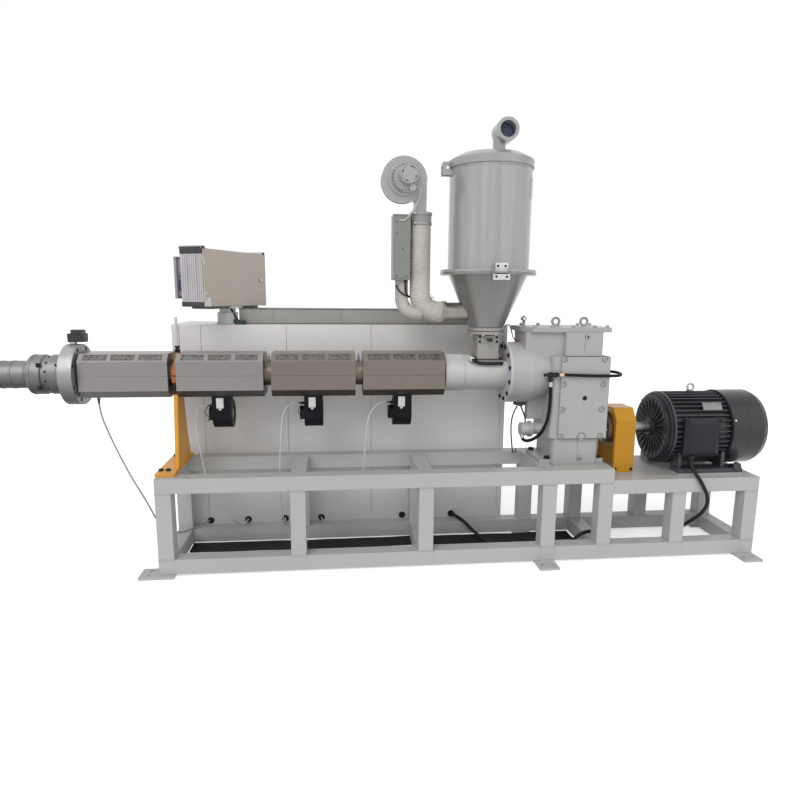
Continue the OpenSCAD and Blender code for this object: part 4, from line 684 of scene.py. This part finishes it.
# Motor. Grey-iron frame with cast fins, ribbed end shield and pressed cowl in blue-black enamel, with a
# bright eye bolt; a bearing cap, the box lid, screws, a blank rating plate and the cowl's rings are added.
motor_enamel = finish("motor_enamel", (0.042, 0.042, 0.050), rough=0.36, cloud=(6, 0.16), grain=(170, 0.4),
                      edge=0.003, worn=(0.10, 0.10, 0.11), level=0.45, dust=0.03)
banded(motor_enamel, (0.60, 0.60, 0.59), (2960, 240, 921), (3040, 300, 1200))
# The end shields and the terminal box carry a darker copy of the same enamel: painted shade.
shaded_motor_enamel = finish("shaded_motor_enamel", (0.019, 0.021, 0.025), rough=0.40, cloud=(6, 0.16), grain=(170, 0.4),
                       edge=0.003, worn=(0.08, 0.08, 0.09), level=0.2, dust=0.03)
cowl_enamel = finish("cowl_enamel", (0.014, 0.0145, 0.019), rough=0.26, cloud=(4, 0.12), grain=(420, 0.12),
                     edge=0.002, level=0.4, coat=0.15)
dress(motor_enamel, "motor_frame")
dress(shaded_motor_enamel, "motor_shields", "terminal_box")
dress(cowl_enamel, "fan_cowl")
dress(black_plastic, "motor_fan")
shield_screws = circle(2790, axis_y, motor_h, 189, 4, radians(45))
add("shield_screws", turned(shield_screws, to_left, hex_bolt(20)), *blackened)
cap_screws = circle(2778, axis_y, motor_h, 58, 6, 0.3)
add("bearing_cap_screws", turned(cap_screws, to_left, hex_bolt(11), sides=12), *blackened)
cap_ring = [(44, -4), (44, 0), (40, 3), (33, 3.5), (31.2, 0)]
add("bearing_cap_ring", turned((2758, axis_y, motor_h), to_left, cap_ring, sides=64), "motor_paint",
    shaded_motor_enamel, ends="loop")
box_screws = [(x, 30, z) for x in (2862, 3050) for z in (592, 788)]
lid_screw = [(5.5, -4), (5.5, 3), (4.6, 4.4), (0.8, 4.0)]
add("terminal_lid_screws", turned(box_screws, to_front, lid_screw, sides=16), *blackened)
lid_plane = slab((2882, 18.8, 611), (3030, 22, 769), along=1, corner=9, edge=1.2)
add("terminal_lid_plane", lid_plane, "motor_paint", shaded_motor_enamel)
# The blank plate leans back with the fins: its depth grows by 0.55 of its height above the middle.
plate = slab((2994, 118, 832), (3108, 120.5, 872), along=1, corner=3, edge=0.8)
plate[..., 1] += 0.55 * (plate[..., 2] - 852)
add("blank_rating_plate", plate, "bright_steel",
    finish("rating_plate_blank", (0.22, 0.22, 0.225), rough=0.38, metal=0.8, cloud=(30, 0.1),
           grain=(500, 0.1), stretch=(0.1, 1, 1)))
brackets = slab([(2998, 121, 844), (3092, 121, 844)], [(3006, 158, 862), (3100, 158, 862)], along=1, edge=1)
add("rating_plate_brackets", brackets, "motor_paint", motor_enamel)
cowl_angles = 2 * pi * (np.arange(4) + 0.22) / 4
cowl_screw = [(6, -1), (6, 2), (5, 3.4), (0.8, 3.8)]
cowl_screws = [turned((3166, axis_y, motor_h) + 217 * outward, outward, cowl_screw, sides=14)
               for outward in spots(0, np.sin(cowl_angles), np.cos(cowl_angles))]
add("cowl_screws", np.concatenate(cowl_screws), *plated)
ridge = turned((3250, axis_y, motor_h), to_right, [(217.4, 0), (218.9, 0.8), (218.9, 2.6), (217.4, 3.4)],
               sides=128)
add("cowl_seam_ridge", ridge, "cowl_paint", cowl_enamel, ends="loop")
for number, radius in enumerate((74, 96, 118, 140, 162), 1):
    guard_ring = turned((3376, axis_y, motor_h), to_right, hoop(radius, 2.0), sides=96)
    add(f"cowl_guard_ring_{number}", guard_ring, "cowl_paint", cowl_enamel, ends="loop", sharp_from=80)
earth_boss = [(24, -6), (24, 12), (21, 15), (9, 15), (8, 12), (1, 12)]
add("motor_earth_boss", turned((3190, 56, 515), to_front, earth_boss), "motor_paint", motor_enamel)


# Control cabinet. Folded sheet on a plinth, powder-coated pale grey. Its plain side faces the machine,
# with upright seams, rubber grommets and an edge strip; its far side has louvres and sunk handles.
def relief(material, height, strength, sunk=False):
    """Adds a relief of up to 4 mm to a finish: it rises, or sinks, where the height is one."""
    tree = material.node_tree
    socket = tree.nodes["Principled BSDF"].inputs["Normal"]
    inputs = {"Height": height, "Normal": socket.links[0].from_socket, "Strength": strength,
              "Distance": 0.004}
    feed(tree, put(tree, "Bump", inputs, "Normal", invert=sunk), socket)


def slotted(material, low, high, axis, pitch):
    """Slots inside a box, one at each crest of a wave along an axis: there the face is sunk and painted
    nearly black, as painted shade in the openings."""
    tree = material.node_tree
    wave = {"Vector": put(tree, "TexCoord", {}, "Object"), "Scale": 2 * pi / 20 / (pitch / 1000)}
    wave = put(tree, "TexWave", wave, "Fac", bands_direction=axis)
    crest = put(tree, "MapRange", {"Value": wave, "From Min": 0.84, "From Max": 0.93}, "Result")
    slot = calculate(tree, "MULTIPLY", crest, within(tree, low, high))
    tinted(material, slot, (0.03, 0.03, 0.03))
    relief(material, slot, 1.0, sunk=True)


# Towards the floor the cabinet's colour darkens: painted shade.
cabinet_paint = finish("cabinet_powder_coat", (0.81, 0.79, 0.775), rough=0.40, cloud=(1.2, 0.03),
                       grain=(260, 0.10), edge=0.003, dust=0.04, floor_shade=0.35)
# The louvres and sunk handles on the far side are painted nearly black inside: painted shade.
for x in (210, 820, 1500):
    slotted(cabinet_paint, (x, 930, 1010), (x + 220, 960, 1208), "Z", 22)
for x in (600, 1240, 1880):
    slotted(cabinet_paint, (x - 14, 930, 640), (x + 14, 960, 760), "X", 28)
dress(cabinet_paint, "cabinet")
for x, bore in ((169, 6.5), (390, 6), (610, 6), (828, 6), (1323, 1), (1631, 12)):
    grommet = [(bore, -8), (15, -6), (15, 0), (20, 0.5), (20, 3), (17, 4.6), (bore, 4)]
    grommet = turned((x, 500, 116), to_front, grommet, sides=32)
    add(f"cabinet_grommet_{x}", grommet, "black_plastic", cable_jacket, ends="loop" if bore > 1 else "fan")
strip = slab((1.5, 498.6, 150), (39, 501, 1279), edge=0.6, corner=1.0)
add("cabinet_edge_strip", strip, "white_paint", cabinet_paint)
roof_screws = [(x, y, 1284) for x in (30, 520, 1010, 1500, 1920) for y in (520, 930)]
roof_screw = [(5, -1), (5, 1.2), (4, 2.6), (0.6, 2.9)]
add("cabinet_roof_screws", turned(roof_screws, to_top, roof_screw, sides=12), *plated)

# Cable duct on the cabinet. Grey sheet channel with a clip-on lid; it lies along the cabinet's roof.
# Dark strips along the lid's lower edges and along the duct's foot on the roof are painted shade.
dress(finish("cable_duct_sheet", (0.33, 0.325, 0.31), rough=0.36, metal=0.35, cloud=(2.0, 0.10),
             grain=(300, 0.15), stretch=(0.08, 1, 1), edge=0.0015), "cable_duct")
rims_and_shade_strips = slab([(359.5, 617.5, 1370), (359.5, 617.8, 1284.2), (359.5, 799, 1370)],
            [(1891.5, 620.5, 1376), (1891.5, 620.5, 1289), (1891.5, 802, 1376)], along=0, corner=1.0,
            edge=0.8)
add("duct_painted_shade_strips", rims_and_shade_strips, *sealant_and_shade)

# Operator panel. Extruded aluminium housing, grooved and brushed, with black moulded caps at the top and
# bottom of both ends, a tan sheet door on white hinges and the operator's screen, on a swivel stand.
stand_x, stand_y, panel_foot, turn = 298, 600, 1389.0, radians(63.4)


def on_panel(rows):
    """Turns rows from the panel's own lengthways, depth and height into the machine's frame about the stand's
    axis."""
    x, y, z = np.moveaxis(np.asarray(rows, float), -1, 0)
    return spots(stand_x + x * np.cos(turn) - y * np.sin(turn), stand_y + x * np.sin(turn) + y * np.cos(turn),
                 panel_foot + z)


def panel_block(name, lo, hi, slot, material, body="panel", along=1, **soft):
    """Soft-edged blocks in the panel's own directions."""
    add(name, on_panel(slab(lo, hi, along, **soft)), slot, material, body)


def level_circle(x, y, z, radius, count, first):
    """Places spread evenly round a level circle, from a first angle off the machine's long axis."""
    a = first + 2 * pi * np.arange(count) / count
    return spots(x + radius * np.cos(a), y + radius * np.sin(a), z)


panel_metal = finish("panel_extrusion", (0.50, 0.475, 0.49), rough=0.34, metal=0.55, cloud=(6, 0.06),
                     grain=(420, 0.12), stretch=(1, 1, 0.05), edge=0.0015)
cap_black = finish("panel_cap_plastic", (0.035, 0.034, 0.042), rough=0.42, cloud=(15, 0.2), grain=(500, 0.2))
door_paint = finish("panel_door_tan", (0.57, 0.50, 0.43), rough=0.42, cloud=(3, 0.05), grain=(260, 0.15),
                    edge=0.0015)
screen_finish = dict(rough=0.4, grain=(300, 0.15), edge=0.0015)
screen_white = finish("screen_housing", (0.60, 0.60, 0.59), cloud=(10, 0.05), **screen_finish)
screen_case = finish("screen_case_grey", (0.33, 0.32, 0.345), cloud=(10, 0.06), **screen_finish)
hinge_white = finish("hinge_white", (0.80, 0.80, 0.79), rough=0.4, cloud=(30, 0.05), grain=(300, 0.15))
stand_paint = finish("swivel_stand_paint", (0.60, 0.60, 0.59), rough=0.4, cloud=(9, 0.06), grain=(150, 0.3),
                     edge=0.003, worn=(0.35, 0.35, 0.34))
for material, node in ((panel_metal, "panel_housing"), (door_paint, "panel_door"),
                       (screen_case, "display_unit"), (stand_paint, "panel_stand")):
    dress(material, node)
capped, hinged = ("black_plastic", cap_black), ("white_paint", hinge_white, "door")
panel_block("panel_end_caps", [(-300, -68.5, -1), (-300, -68.5, 277)], [(-272, 76.5, 27), (-262, 76.5, 321)],
            *capped, corner=7, edge=4)
panel_block("panel_far_caps", [(272, -70, -1), (272, -70, 292)], [(299, 76.5, 14), (299, 76.5, 321)],
            *capped, corner=4, edge=3)
ribs = np.array([(-299.2, -58 + 14.5 * i, 32) for i in range(9)])
panel_block("panel_extrusion_ribs", ribs, ribs + (3.2, 8.6, 242), "panel_alu", panel_metal, along=2, edge=1.0,
            corner=1.3)
panel_block("panel_door_hinge_leaves", [(-296, -79.4, 228), (-296, -79.4, 42)],
            [(-281, -73, 262), (-281, -73, 76)], *hinged, corner=3, edge=1.4)
panel_block("panel_door_corner_plate", (-291, -77.5, 3), (-245, -73.3, 50), *hinged, corner=3, edge=1)
plate_screws = [(-279, -77, 16), (-259, -77, 16), (-279, -77, 38)]
plate_screws = on_panel(turned(plate_screws, to_front, [(4, 0), (4, 1.4), (3, 2.2), (0.6, 2.2)], sides=12))
add("corner_plate_screws", plate_screws, *plated, "door")
lock = on_panel(turned((238, -79.2, 154), to_front,
                       [(12.4, -4), (12.4, 1.4), (10.5, 2.8), (5.4, 2.8), (5, 1)]))
add("panel_quarter_turn_lock", lock, "bright_steel", zinc, "door")
glass = finish("screen_glass", (0.012, 0.016, 0.024), rough=0.16, cloud=(3, 0.2), grain=(60, 0.02), coat=0.6)
panel_block("screen_face", (-268, 126.0, 66), (222, 129.4, 242), "display_white", glass, corner=4, edge=0.8)
panel_block("screen_bezel",
            [(-282.5, 127.6, 42), (-282.5, 127.6, 240), (-282.5, 127.6, 42), (222, 127.6, 42)],
            [(236.5, 130.2, 66), (236.5, 130.2, 266), (-268, 130.2, 266), (236.5, 130.2, 266)],
            "display_white", screen_white, corner=3, edge=0.8)
blue = finish("connector_blue", (0.03, 0.035, 0.11), rough=0.4, cloud=(30, 0.2), grain=(400, 0.2))
panel_block("screen_data_plug", (-274, 82, 84), (-263, 108, 146), "black_plastic", blue, along=0, corner=3,
            edge=1.4)
panel_block("screen_supply_plugs", [(-272, 84, 154), (-270, 88, 176)], [(-263, 104, 170), (-263, 100, 190)],
            *moulded, along=0, corner=2.4, edge=1.2)
knob = on_panel(turned((212, -40, 0), to_floor, [(13, -1), (13, 9), (11, 12), (4, 12)]))
add("under_panel_knob", knob, *moulded, "panel")
panel_block("under_panel_plates", [(-236, -60, -13), (60, -60, -13)], [(-60, 62, 0), (226, 62, 0)], *sealant_and_shade,
            along=2, corner=4, edge=1.2)
socket_green = finish("socket_green_black", (0.012, 0.045, 0.035), rough=0.42, cloud=(25, 0.3),
                      grain=(400, 0.2))
socket = slab([(346, 545, 1283.5), (338, 550, 1300)], [(402, 600, 1306), (366, 590, 1313)], corner=5, edge=3)
add("stand_socket", socket, "black_plastic", socket_green)
drop_lead = [(318, 566, 1384), (326, 562, 1372), (338, 560, 1352), (350, 560, 1330), (358, 562, 1312)]
lay_cord("stand_socket_lead", None, drop_lead, 10, *jacketed)
foot_screws = level_circle(stand_x, stand_y, 1294, 60.5, 6, radians(30))
foot_screw = [(3.2, -1), (3.2, 3), (2.6, 3.6), (1.4, 3.6, 6), (1.3, 2, 6)]
add("stand_foot_screws", turned(foot_screws, to_top, foot_screw, sides=12), *plated)

# Hopper dryer. Rolled 3 mm sheet under a satin grey enamel: barrel and cone meet in flanges, and the
# barrel tilts on a front hinge; it has a sight window, a rolled seam, toggle clips and a domed lid.
hopper_x = 1760
satin = dict(grain=(420, 0.07), edge=0.002)
# The barrel's enamel carries strong upright light and dark streaks, drawn out of wide noise: painted
# reflections.
hopper_enamel_painted_reflections = finish("hopper_satin_enamel_painted_reflections", (0.372, 0.371, 0.368), rough=0.24, metal=0.25,
                       cloud=(9.0, 0.27), drawn=(1, 1, 0.03), coat=0.3, **satin)
# The cone is darkened a little on faces that look down: painted shade.
cone_enamel = finish("cone_satin_enamel", (0.28, 0.272, 0.26), rough=0.27, metal=0.25, cloud=(9.0, 0.10),
                     drawn=(1, 1, 0.1), coat=0.25, underside_shade=0.35, **satin)
lid_enamel = finish("lid_satin_enamel", (0.375, 0.38, 0.38), rough=0.28, metal=0.2, cloud=(2.2, 0.05),
                    coat=0.25, **satin)
dress(hopper_enamel_painted_reflections, "hopper_barrel")
dress(cone_enamel, "hopper_cone")
dress(lid_enamel, "hopper_lid", "exhaust_elbow")
leaf = finish("hinge_plate_zinc", (0.58, 0.58, 0.57), rough=0.28, metal=0.9, cloud=(25, 0.12),
              grain=(400, 0.15), edge=0.001)
upper_leaf = slab([(1727, -16.5, 1592), (1727, -16.5, 1587)], [(1793, -5.5, 1625), (1793, -8, 1597)],
                  along=0, corner=1.6, edge=1)
add("tilt_hinge_upper_leaf", upper_leaf, "bright_steel", leaf, "hopper")
lower_leaf = slab((1716, -22, 1539), (1804, -14.4, 1569), along=1, edge=1)
add("tilt_hinge_lower_leaf", lower_leaf, "bright_steel", leaf)
dome = [(6.5, -1), (6.5, 1), (5.4, 3.6), (3, 5.2), (0.5, 5.6)]
upper_screws = [(1741, -16, 1609), (1779, -16, 1609)]
lower_screws = [(1733, -21.5, 1556), (1787, -21.5, 1556)]
add("upper_leaf_screws", turned(upper_screws, to_front, dome, sides=16), *blackened, "hopper")
add("lower_leaf_screws", turned(lower_screws, to_front, dome, sides=16), *blackened)
bead_line = [(219, 0), (221.2, 1.4), (222.2, 3.5), (221.2, 5.6), (219, 7)]
bead = turned((hopper_x, axis_y, 2108), to_top, bead_line, sides=128)
add("barrel_upper_bead", bead, "hopper_paint", hopper_enamel_painted_reflections, "hopper", ends="loop")
rolled_seam = slab((1755, 488, 1602), (1765, 491.5, 2126), corner=1.4, edge=1)
add("barrel_rolled_seam", rolled_seam, "hopper_paint", hopper_enamel_painted_reflections, "hopper")


def wrapped(half, steps, low, high, inner, outer):
    """A curved plate on the barrel at the window's place: one ring runs round the plate's cross-section in
    angle, and rings follow each other upwards."""
    angle = radians(-25) + np.linspace(-half, half, steps)
    angle, out = np.concatenate([angle, angle[::-1]]), np.repeat([outer, inner], steps)
    return spots(hopper_x + out * np.cos(angle), axis_y + out * np.sin(angle),
                 np.linspace(low, high, 4)[:, None])


add("sight_window_frame", wrapped(0.17, 15, 1966, 2072, 219, 223.5), "bright_steel", leaf, "hopper")
clear = finish("sight_window_glass", (0.58, 0.56, 0.64), rough=0.25, cloud=(12, 0.08), grain=(120, 0.03),
               coat=0.5)
add("sight_window_glass", wrapped(0.135, 13, 1975, 2063, 222, 224.3), "display_white", clear, "hopper")
clip_out = np.array([221.5, 226, 231, 232, 231.5, 228, 223.5])
clip_height = np.array([2082, 2084, 2092, 2106, 2116, 2121.5, 2121.5])
clip_section = np.array([(12, 1.2), (-12, 1.2), (-12, -1.2), (12, -1.2)])
for number, angle in enumerate((radians(58), radians(125)), 1):
    path = spots(hopper_x + clip_out * np.cos(angle), axis_y + clip_out * np.sin(angle), clip_height)
    clip = carried(smooth_route(path, 3), clip_section)
    add(f"lid_toggle_clip_{number}", clip, "bright_steel", leaf, "hopper")
filter_cloth = finish("exhaust_filter_cloth", (0.085, 0.10, 0.17), rough=0.75, cloud=(40, 0.2),
                      grain=(260, 0.6))
cloth = turned((1828, 293, 2317), to_front, [(42, 0), (42, 40), (40, 44), (26, 47), (8, 48)], sides=48)
add("exhaust_filter", cloth, "lagging", filter_cloth, "lid")
rim = [(58.2, -1), (59, 0.2), (59, 5), (58.2, 6.2)]
rims_and_shade_strips = turned([(1828, 207, 2317), (1828, 319.5, 2317)], to_front, rim, sides=72)
add("exhaust_head_rims", rims_and_shade_strips, "hopper_paint", lid_enamel, "lid", ends="loop")
exhaust_screws = level_circle(1800, axis_y, 2223, 38.5, 4, -0.91)
exhaust_screw = [(3.6, -1), (3.6, 3), (3, 3.8), (1.7, 3.8, 6), (1.6, 2, 6)]
add("exhaust_flange_screws", turned(exhaust_screws, to_top, exhaust_screw, sides=12), *plated, "lid")
lid_bead = turned((hopper_x, axis_y, 2142), to_top, [(226, 0), (227, 1.2), (227, 4), (226, 5)], sides=128)
add("lid_rolled_bead", lid_bead, "hopper_paint", lid_enamel, "lid", ends="loop")

# Hopper neck. A sloped cast neck on a black gasket plate carries the slide gate; its flanges are
# drawn together by bolts, and the gate's plate ends in a black knob towards the operator.
neck_enamel = finish("hopper_neck_paint", (0.325, 0.31, 0.295), rough=0.36, metal=0.15, cloud=(8, 0.10),
                     grain=(130, 0.4), edge=0.003, worn=(0.24, 0.23, 0.22), dust=0.1)
banded(neck_enamel, (0.03, 0.03, 0.03), (1600, 100, 1110), (1900, 400, 1116))
banded(neck_enamel, (0.02, 0.02, 0.02), (1700, 100, 1200), (1800, 176, 1250))
dress(neck_enamel, "hopper_base")
foot_bolts = [(x, y, 1114) for x in (1690, 1830) for y in (200, 340)]
add("neck_foot_bolts", turned(foot_bolts, to_top, hex_bolt(18), sides=12), *blackened)
throat_bolts = level_circle(hopper_x, axis_y, 1251, 93, 8, pi / 8)
add("throat_flange_bolts", turned(throat_bolts, to_floor, hex_bolt(13), sides=12), *plated)
throat_joint = [(101, 0), (102.8, 0.4), (102.8, 2.2), (101, 2.8)]
add("throat_flange_joint", turned((hopper_x, axis_y, 1268.6), to_top, throat_joint, sides=96), *sealant_and_shade,
    ends="loop")
side_bolts = [(x, 205.8, z) for x in (1712, 1808) for z in (1212, 1236)]
add("gate_side_bolts", turned(side_bolts, to_front, hex_bolt(11), sides=12), *blackened)
knob = turned((hopper_x, 159, 1224), to_front, [(9, -4), (11, -2), (11, 0.4), (6, 0.8)], sides=20)
add("gate_knob", knob, *moulded)

# Hot-air blower and its pipes. Spun and welded sheet scroll in the hopper's grey; the pipe to the cone
# is lagged with woven glass tape wound in overlapping turns, tied with wire and a buckled strap.
blower_enamel = finish("scroll_enamel", (0.40, 0.40, 0.395), rough=0.33, metal=0.15, cloud=(5, 0.06),
                       grain=(300, 0.12), edge=0.003)
dress(blower_enamel, "blower_scroll", "blower_motor")


def slots_round(centre, angles, low, high, **soft):
    """A slot repeated round an axis that faces the operator: each copy is turned by its own angle."""
    x, y, z = np.moveaxis(slab(low, high, **soft), -1, 0)
    c, s = np.cos(angles)[:, None, None], np.sin(angles)[:, None, None]
    return spots(x * c + z * s, y, z * c - x * s) + centre


# The slots in the fan face and the motor cap are thin black slabs: painted shade in the openings.
face_angles, cap_angles = pi * (195 + 7.5 * np.arange(15)) / 180, radians(20) + pi / 2 * np.arange(4)
face_slots = slots_round((1295, 197.9, 2059), face_angles, (-2, -0.6, 66), (2, 0.6, 74), edge=0.3, corner=0.5,
                         arc=1)
add("fan_face_slots", face_slots, *sealant_and_shade)
cap_slots = slots_round((1306, 131.8, 2067), cap_angles, (-7, -0.8, 33), (7, 0.6, 39), edge=0.4, corner=1.2)
add("motor_cap_slots", cap_slots, *sealant_and_shade)
cap_rim = [(46.6, -3), (47.4, -1), (46.4, 1.4), (43, 2.2), (40, 1.0)]
add("motor_cap_rim", turned((1306, 133, 2067), to_front, cap_rim, sides=72), "white_paint", blower_enamel,
    ends="loop")
add("scroll_terminal_boss", turned((1331, 214, 2011), to_front, [(18, 0), (18, 22), (16, 26), (6, 27)]),
    *pale)
supply = [(1348, 198, 2014), (1362, 188, 2011), (1371, 185, 1996), (1366, 190, 1960), (1352, 200, 1925),
          (1332, 206, 1896), (1314, 206, 1870), (1296, 206, 1852), (1280, 207, 1846), (1262, 209, 1848)]
lay_cord("scroll_supply_lead", None, supply, 8.4, "lead_grey", pale_tube)


def lagging(name, colour):
    """Wound glass tape: ridges about twelve millimetres apart from a slanted wave warped by noise, and a
    weave from fine noise. The grooves between the turns are darkened as painted shade."""
    material = finish(name, colour, rough=0.85, cloud=(8, 0.2), grain=(900, 0.5))
    tree = material.node_tree
    slant = {"Vector": put(tree, "TexCoord", {}, "Object"), "Rotation": (0.12, 0.10, 0.0)}
    wave = {"Vector": put(tree, "Mapping", slant, "Vector"), "Scale": 27, "Distortion": 2.4,
            "Detail Scale": 6}
    turns = put(tree, "TexWave", wave, "Fac", bands_direction="Z")
    relief(material, turns, 0.5)
    # Painted shade in the grooves between the turns.
    groove_shade = {"Value": turns, "From Min": 0.0, "From Max": 0.9, "To Min": 0.5, "To Max": 0.0}
    tinted(material, put(tree, "MapRange", groove_shade, "Result"), [c * 0.66 for c in colour])
    return material


tape = lagging("woven_glass_lagging", (0.63, 0.59, 0.53))
banded(tape, (0.36, 0.36, 0.355), (1300, 180, 1828), (1480, 360, 1900))
dress(tape, "hot_air_pipe")
dress(finish("air_duct_steel", (0.27, 0.25, 0.225), rough=0.36, metal=0.85, cloud=(14, 0.14),
             grain=(420, 0.15), stretch=(1, 0.2, 0.2), edge=0.0015), "air_duct")


def tie(centre, axis, radius, wave, thick):
    """Tie wire: a ring round a pipe whose place along it moves in a slow wave."""
    a = 2 * pi * np.arange(-1, 49)[:, None] / 48
    axis = np.asarray(axis, float) / np.linalg.norm(axis)
    side = np.cross(axis, (0.2, 0.9, 0.3))
    side /= np.linalg.norm(side)
    up = np.cross(axis, side)
    line = np.asarray(centre, float) + radius * (np.cos(a) * side + np.sin(a) * up) + wave * np.sin(a) * axis
    return carried(line, ring(6), thick)[1:-1]


ties = [tie((1408, 270, 1428), (1, 0, -1.3), 55.5, 8, 1.1),
        tie((1420, 270, 1412), (1.2, 0, -1), 55.5, -11, 1.1),
        tie((1438, 270, 1398), (1.5, 0, -0.9), 55.5, 9, 1.1),
        tie((1300, 270, 1410), (0.6, 0, -1), 35.4, 5, 1.0), tie((1312, 270, 1394), (1, 0, -1), 35.4, -6, 1.0)]
add("lagging_tie_wires", np.stack(ties), "bright_steel", zinc, ends="loop", sharp_from=80)
strap = finish("buckled_strap", (0.36, 0.30, 0.24), rough=0.7, cloud=(30, 0.2), grain=(500, 0.4))
end_strap = turned((1506, 270, 1372), to_right, [(55, 0), (57.4, 0.8), (57.4, 8.4), (55, 9.2)], sides=72)
add("pipe_end_strap", end_strap, "lagging", strap, ends="loop")
buckle = slab((1502, 206, 1352), (1520, 217, 1378), along=1, edge=1.4)
add("pipe_strap_buckle", buckle, "lagging", strap)
collar_band = [(59.6, 0), (61.0, 1), (61.0, 9), (59.6, 10)]
bands = turned([(1384, 270, 1831), (1384, 270, 1881)], to_top, collar_band, sides=72)
add("collar_clamp_bands", bands, "white_paint", blower_enamel, ends="loop")
collar_lugs = slab([(1340, 214, 1832), (1340, 214, 1882)], [(1352, 232, 1840), (1352, 232, 1890)], corner=2.4,
                   edge=1.2)
add("collar_clamp_lugs", collar_lugs, *plated)

# Air heater box. Bent grey sheet with a folded lid, screwed together along its front; two black cables
# come out below it and tuck in behind the lagged pipe.
dress(finish("heater_box_sheet", (0.235, 0.24, 0.222), rough=0.4, metal=0.2, cloud=(5, 0.07),
             grain=(300, 0.2), edge=0.003), "heater_box")
box_screws = [(x, 210.6, z) for x, z in ((1250, 1838), (1253, 1780), (1281, 1700), (1250, 1562), (1302, 1562),
                                         (1302, 1856))]
box_screw = [(3.6, -1), (3.6, 1.2), (2.8, 2.2), (0.6, 1.8)]
add("heater_box_screws", turned(box_screws, to_front, box_screw, sides=12), *blackened)
gland = [(10, -1, 6), (10, 8, 6), (8, 9), (8, 16), (6, 18)]
add("heater_box_gland", turned((1302, 236, 1541), to_floor, gland), *moulded)
supply = [(1302, 236, 1534), (1302, 236, 1506), (1304, 238, 1480), (1312, 252, 1462), (1326, 280, 1452),
          (1340, 306, 1448)]
lay_cord("heater_supply_cable", None, supply, 11, *jacketed)
sensor = [(1252, 246, 1512), (1256, 236, 1498), (1266, 231, 1484), (1282, 229, 1470), (1300, 232, 1460),
          (1316, 244, 1454), (1328, 262, 1450)]
lay_cord("heater_sensor_cable", None, sensor, 8, *jacketed)

# The studio. A plain pale floor under the machine and soft light: one broad sun from the upper left
# front, one from the right, and a pale sky that metal and glass mirror as plain white. The floor
# adds a plain white of its own for the camera, on which the machine's shadow stays.
reach, floor_depth = 20, -0.0005
sheet = bpy.data.meshes.new("studio_floor")
sheet.from_pydata([(-reach, -reach, floor_depth), (reach, -reach, floor_depth), (reach, reach, floor_depth),
                   (-reach, reach, floor_depth)], [], [(0, 1, 2, 3)])
floor = bpy.data.objects.new("studio_floor", sheet)
bpy.context.scene.collection.objects.link(floor)
floor_paint = finish("studio_floor_paint", (0.93, 0.93, 0.93), rough=0.9, cloud=(0.5, 0.004), grain=(20, 0.0),
                     level=0.1)
floor.data.materials.append(floor_paint)
tree = floor_paint.node_tree
rays = put(tree, "LightPath", {}, "Is Camera Ray").node.outputs
direct = calculate(tree, "MAXIMUM", rays["Is Camera Ray"], rays["Is Glossy Ray"])
glow = {"Emission Color": (1, 1, 1, 1), "Emission Strength": calculate(tree, "MULTIPLY", direct, 0.5)}
for socket, value in glow.items():
    feed(tree, value, tree.nodes["Principled BSDF"].inputs[socket])

sky = bpy.data.worlds.new("studio_sky")
bpy.context.scene.world = sky
sky.use_nodes = True
tree = sky.node_tree
lit = tree.nodes["Background"]
lit.inputs["Color"].default_value = (0.96, 0.98, 1.0, 1)
lit.inputs["Strength"].default_value = 0.50
seen = put(tree, "Background", {"Color": (1, 1, 1, 1), "Strength": 1.0}, "Background")
rays = put(tree, "LightPath", {}, "Is Camera Ray").node.outputs
direct = calculate(tree, "MAXIMUM", rays["Is Camera Ray"], rays["Is Glossy Ray"])
direct = calculate(tree, "MAXIMUM", direct, rays["Is Transmission Ray"])
swapped = put(tree, "MixShader", {"Fac": direct, 1: lit.outputs["Background"], 2: seen}, "Shader")
feed(tree, swapped, tree.nodes["World Output"].inputs["Surface"])
for name, power, spread, aim in (("upper_left_light", 1.22, 38, (48, 0, -34)),
                                 ("right_fill_light", 0.42, 60, (62, 0, 40))):
    lamp = bpy.data.objects.new(name, bpy.data.lights.new(name, "SUN"))
    lamp.data.energy = power
    lamp.data.angle = radians(spread)
    lamp.rotation_euler = [radians(a) for a in aim]
    bpy.context.scene.collection.objects.link(lamp)
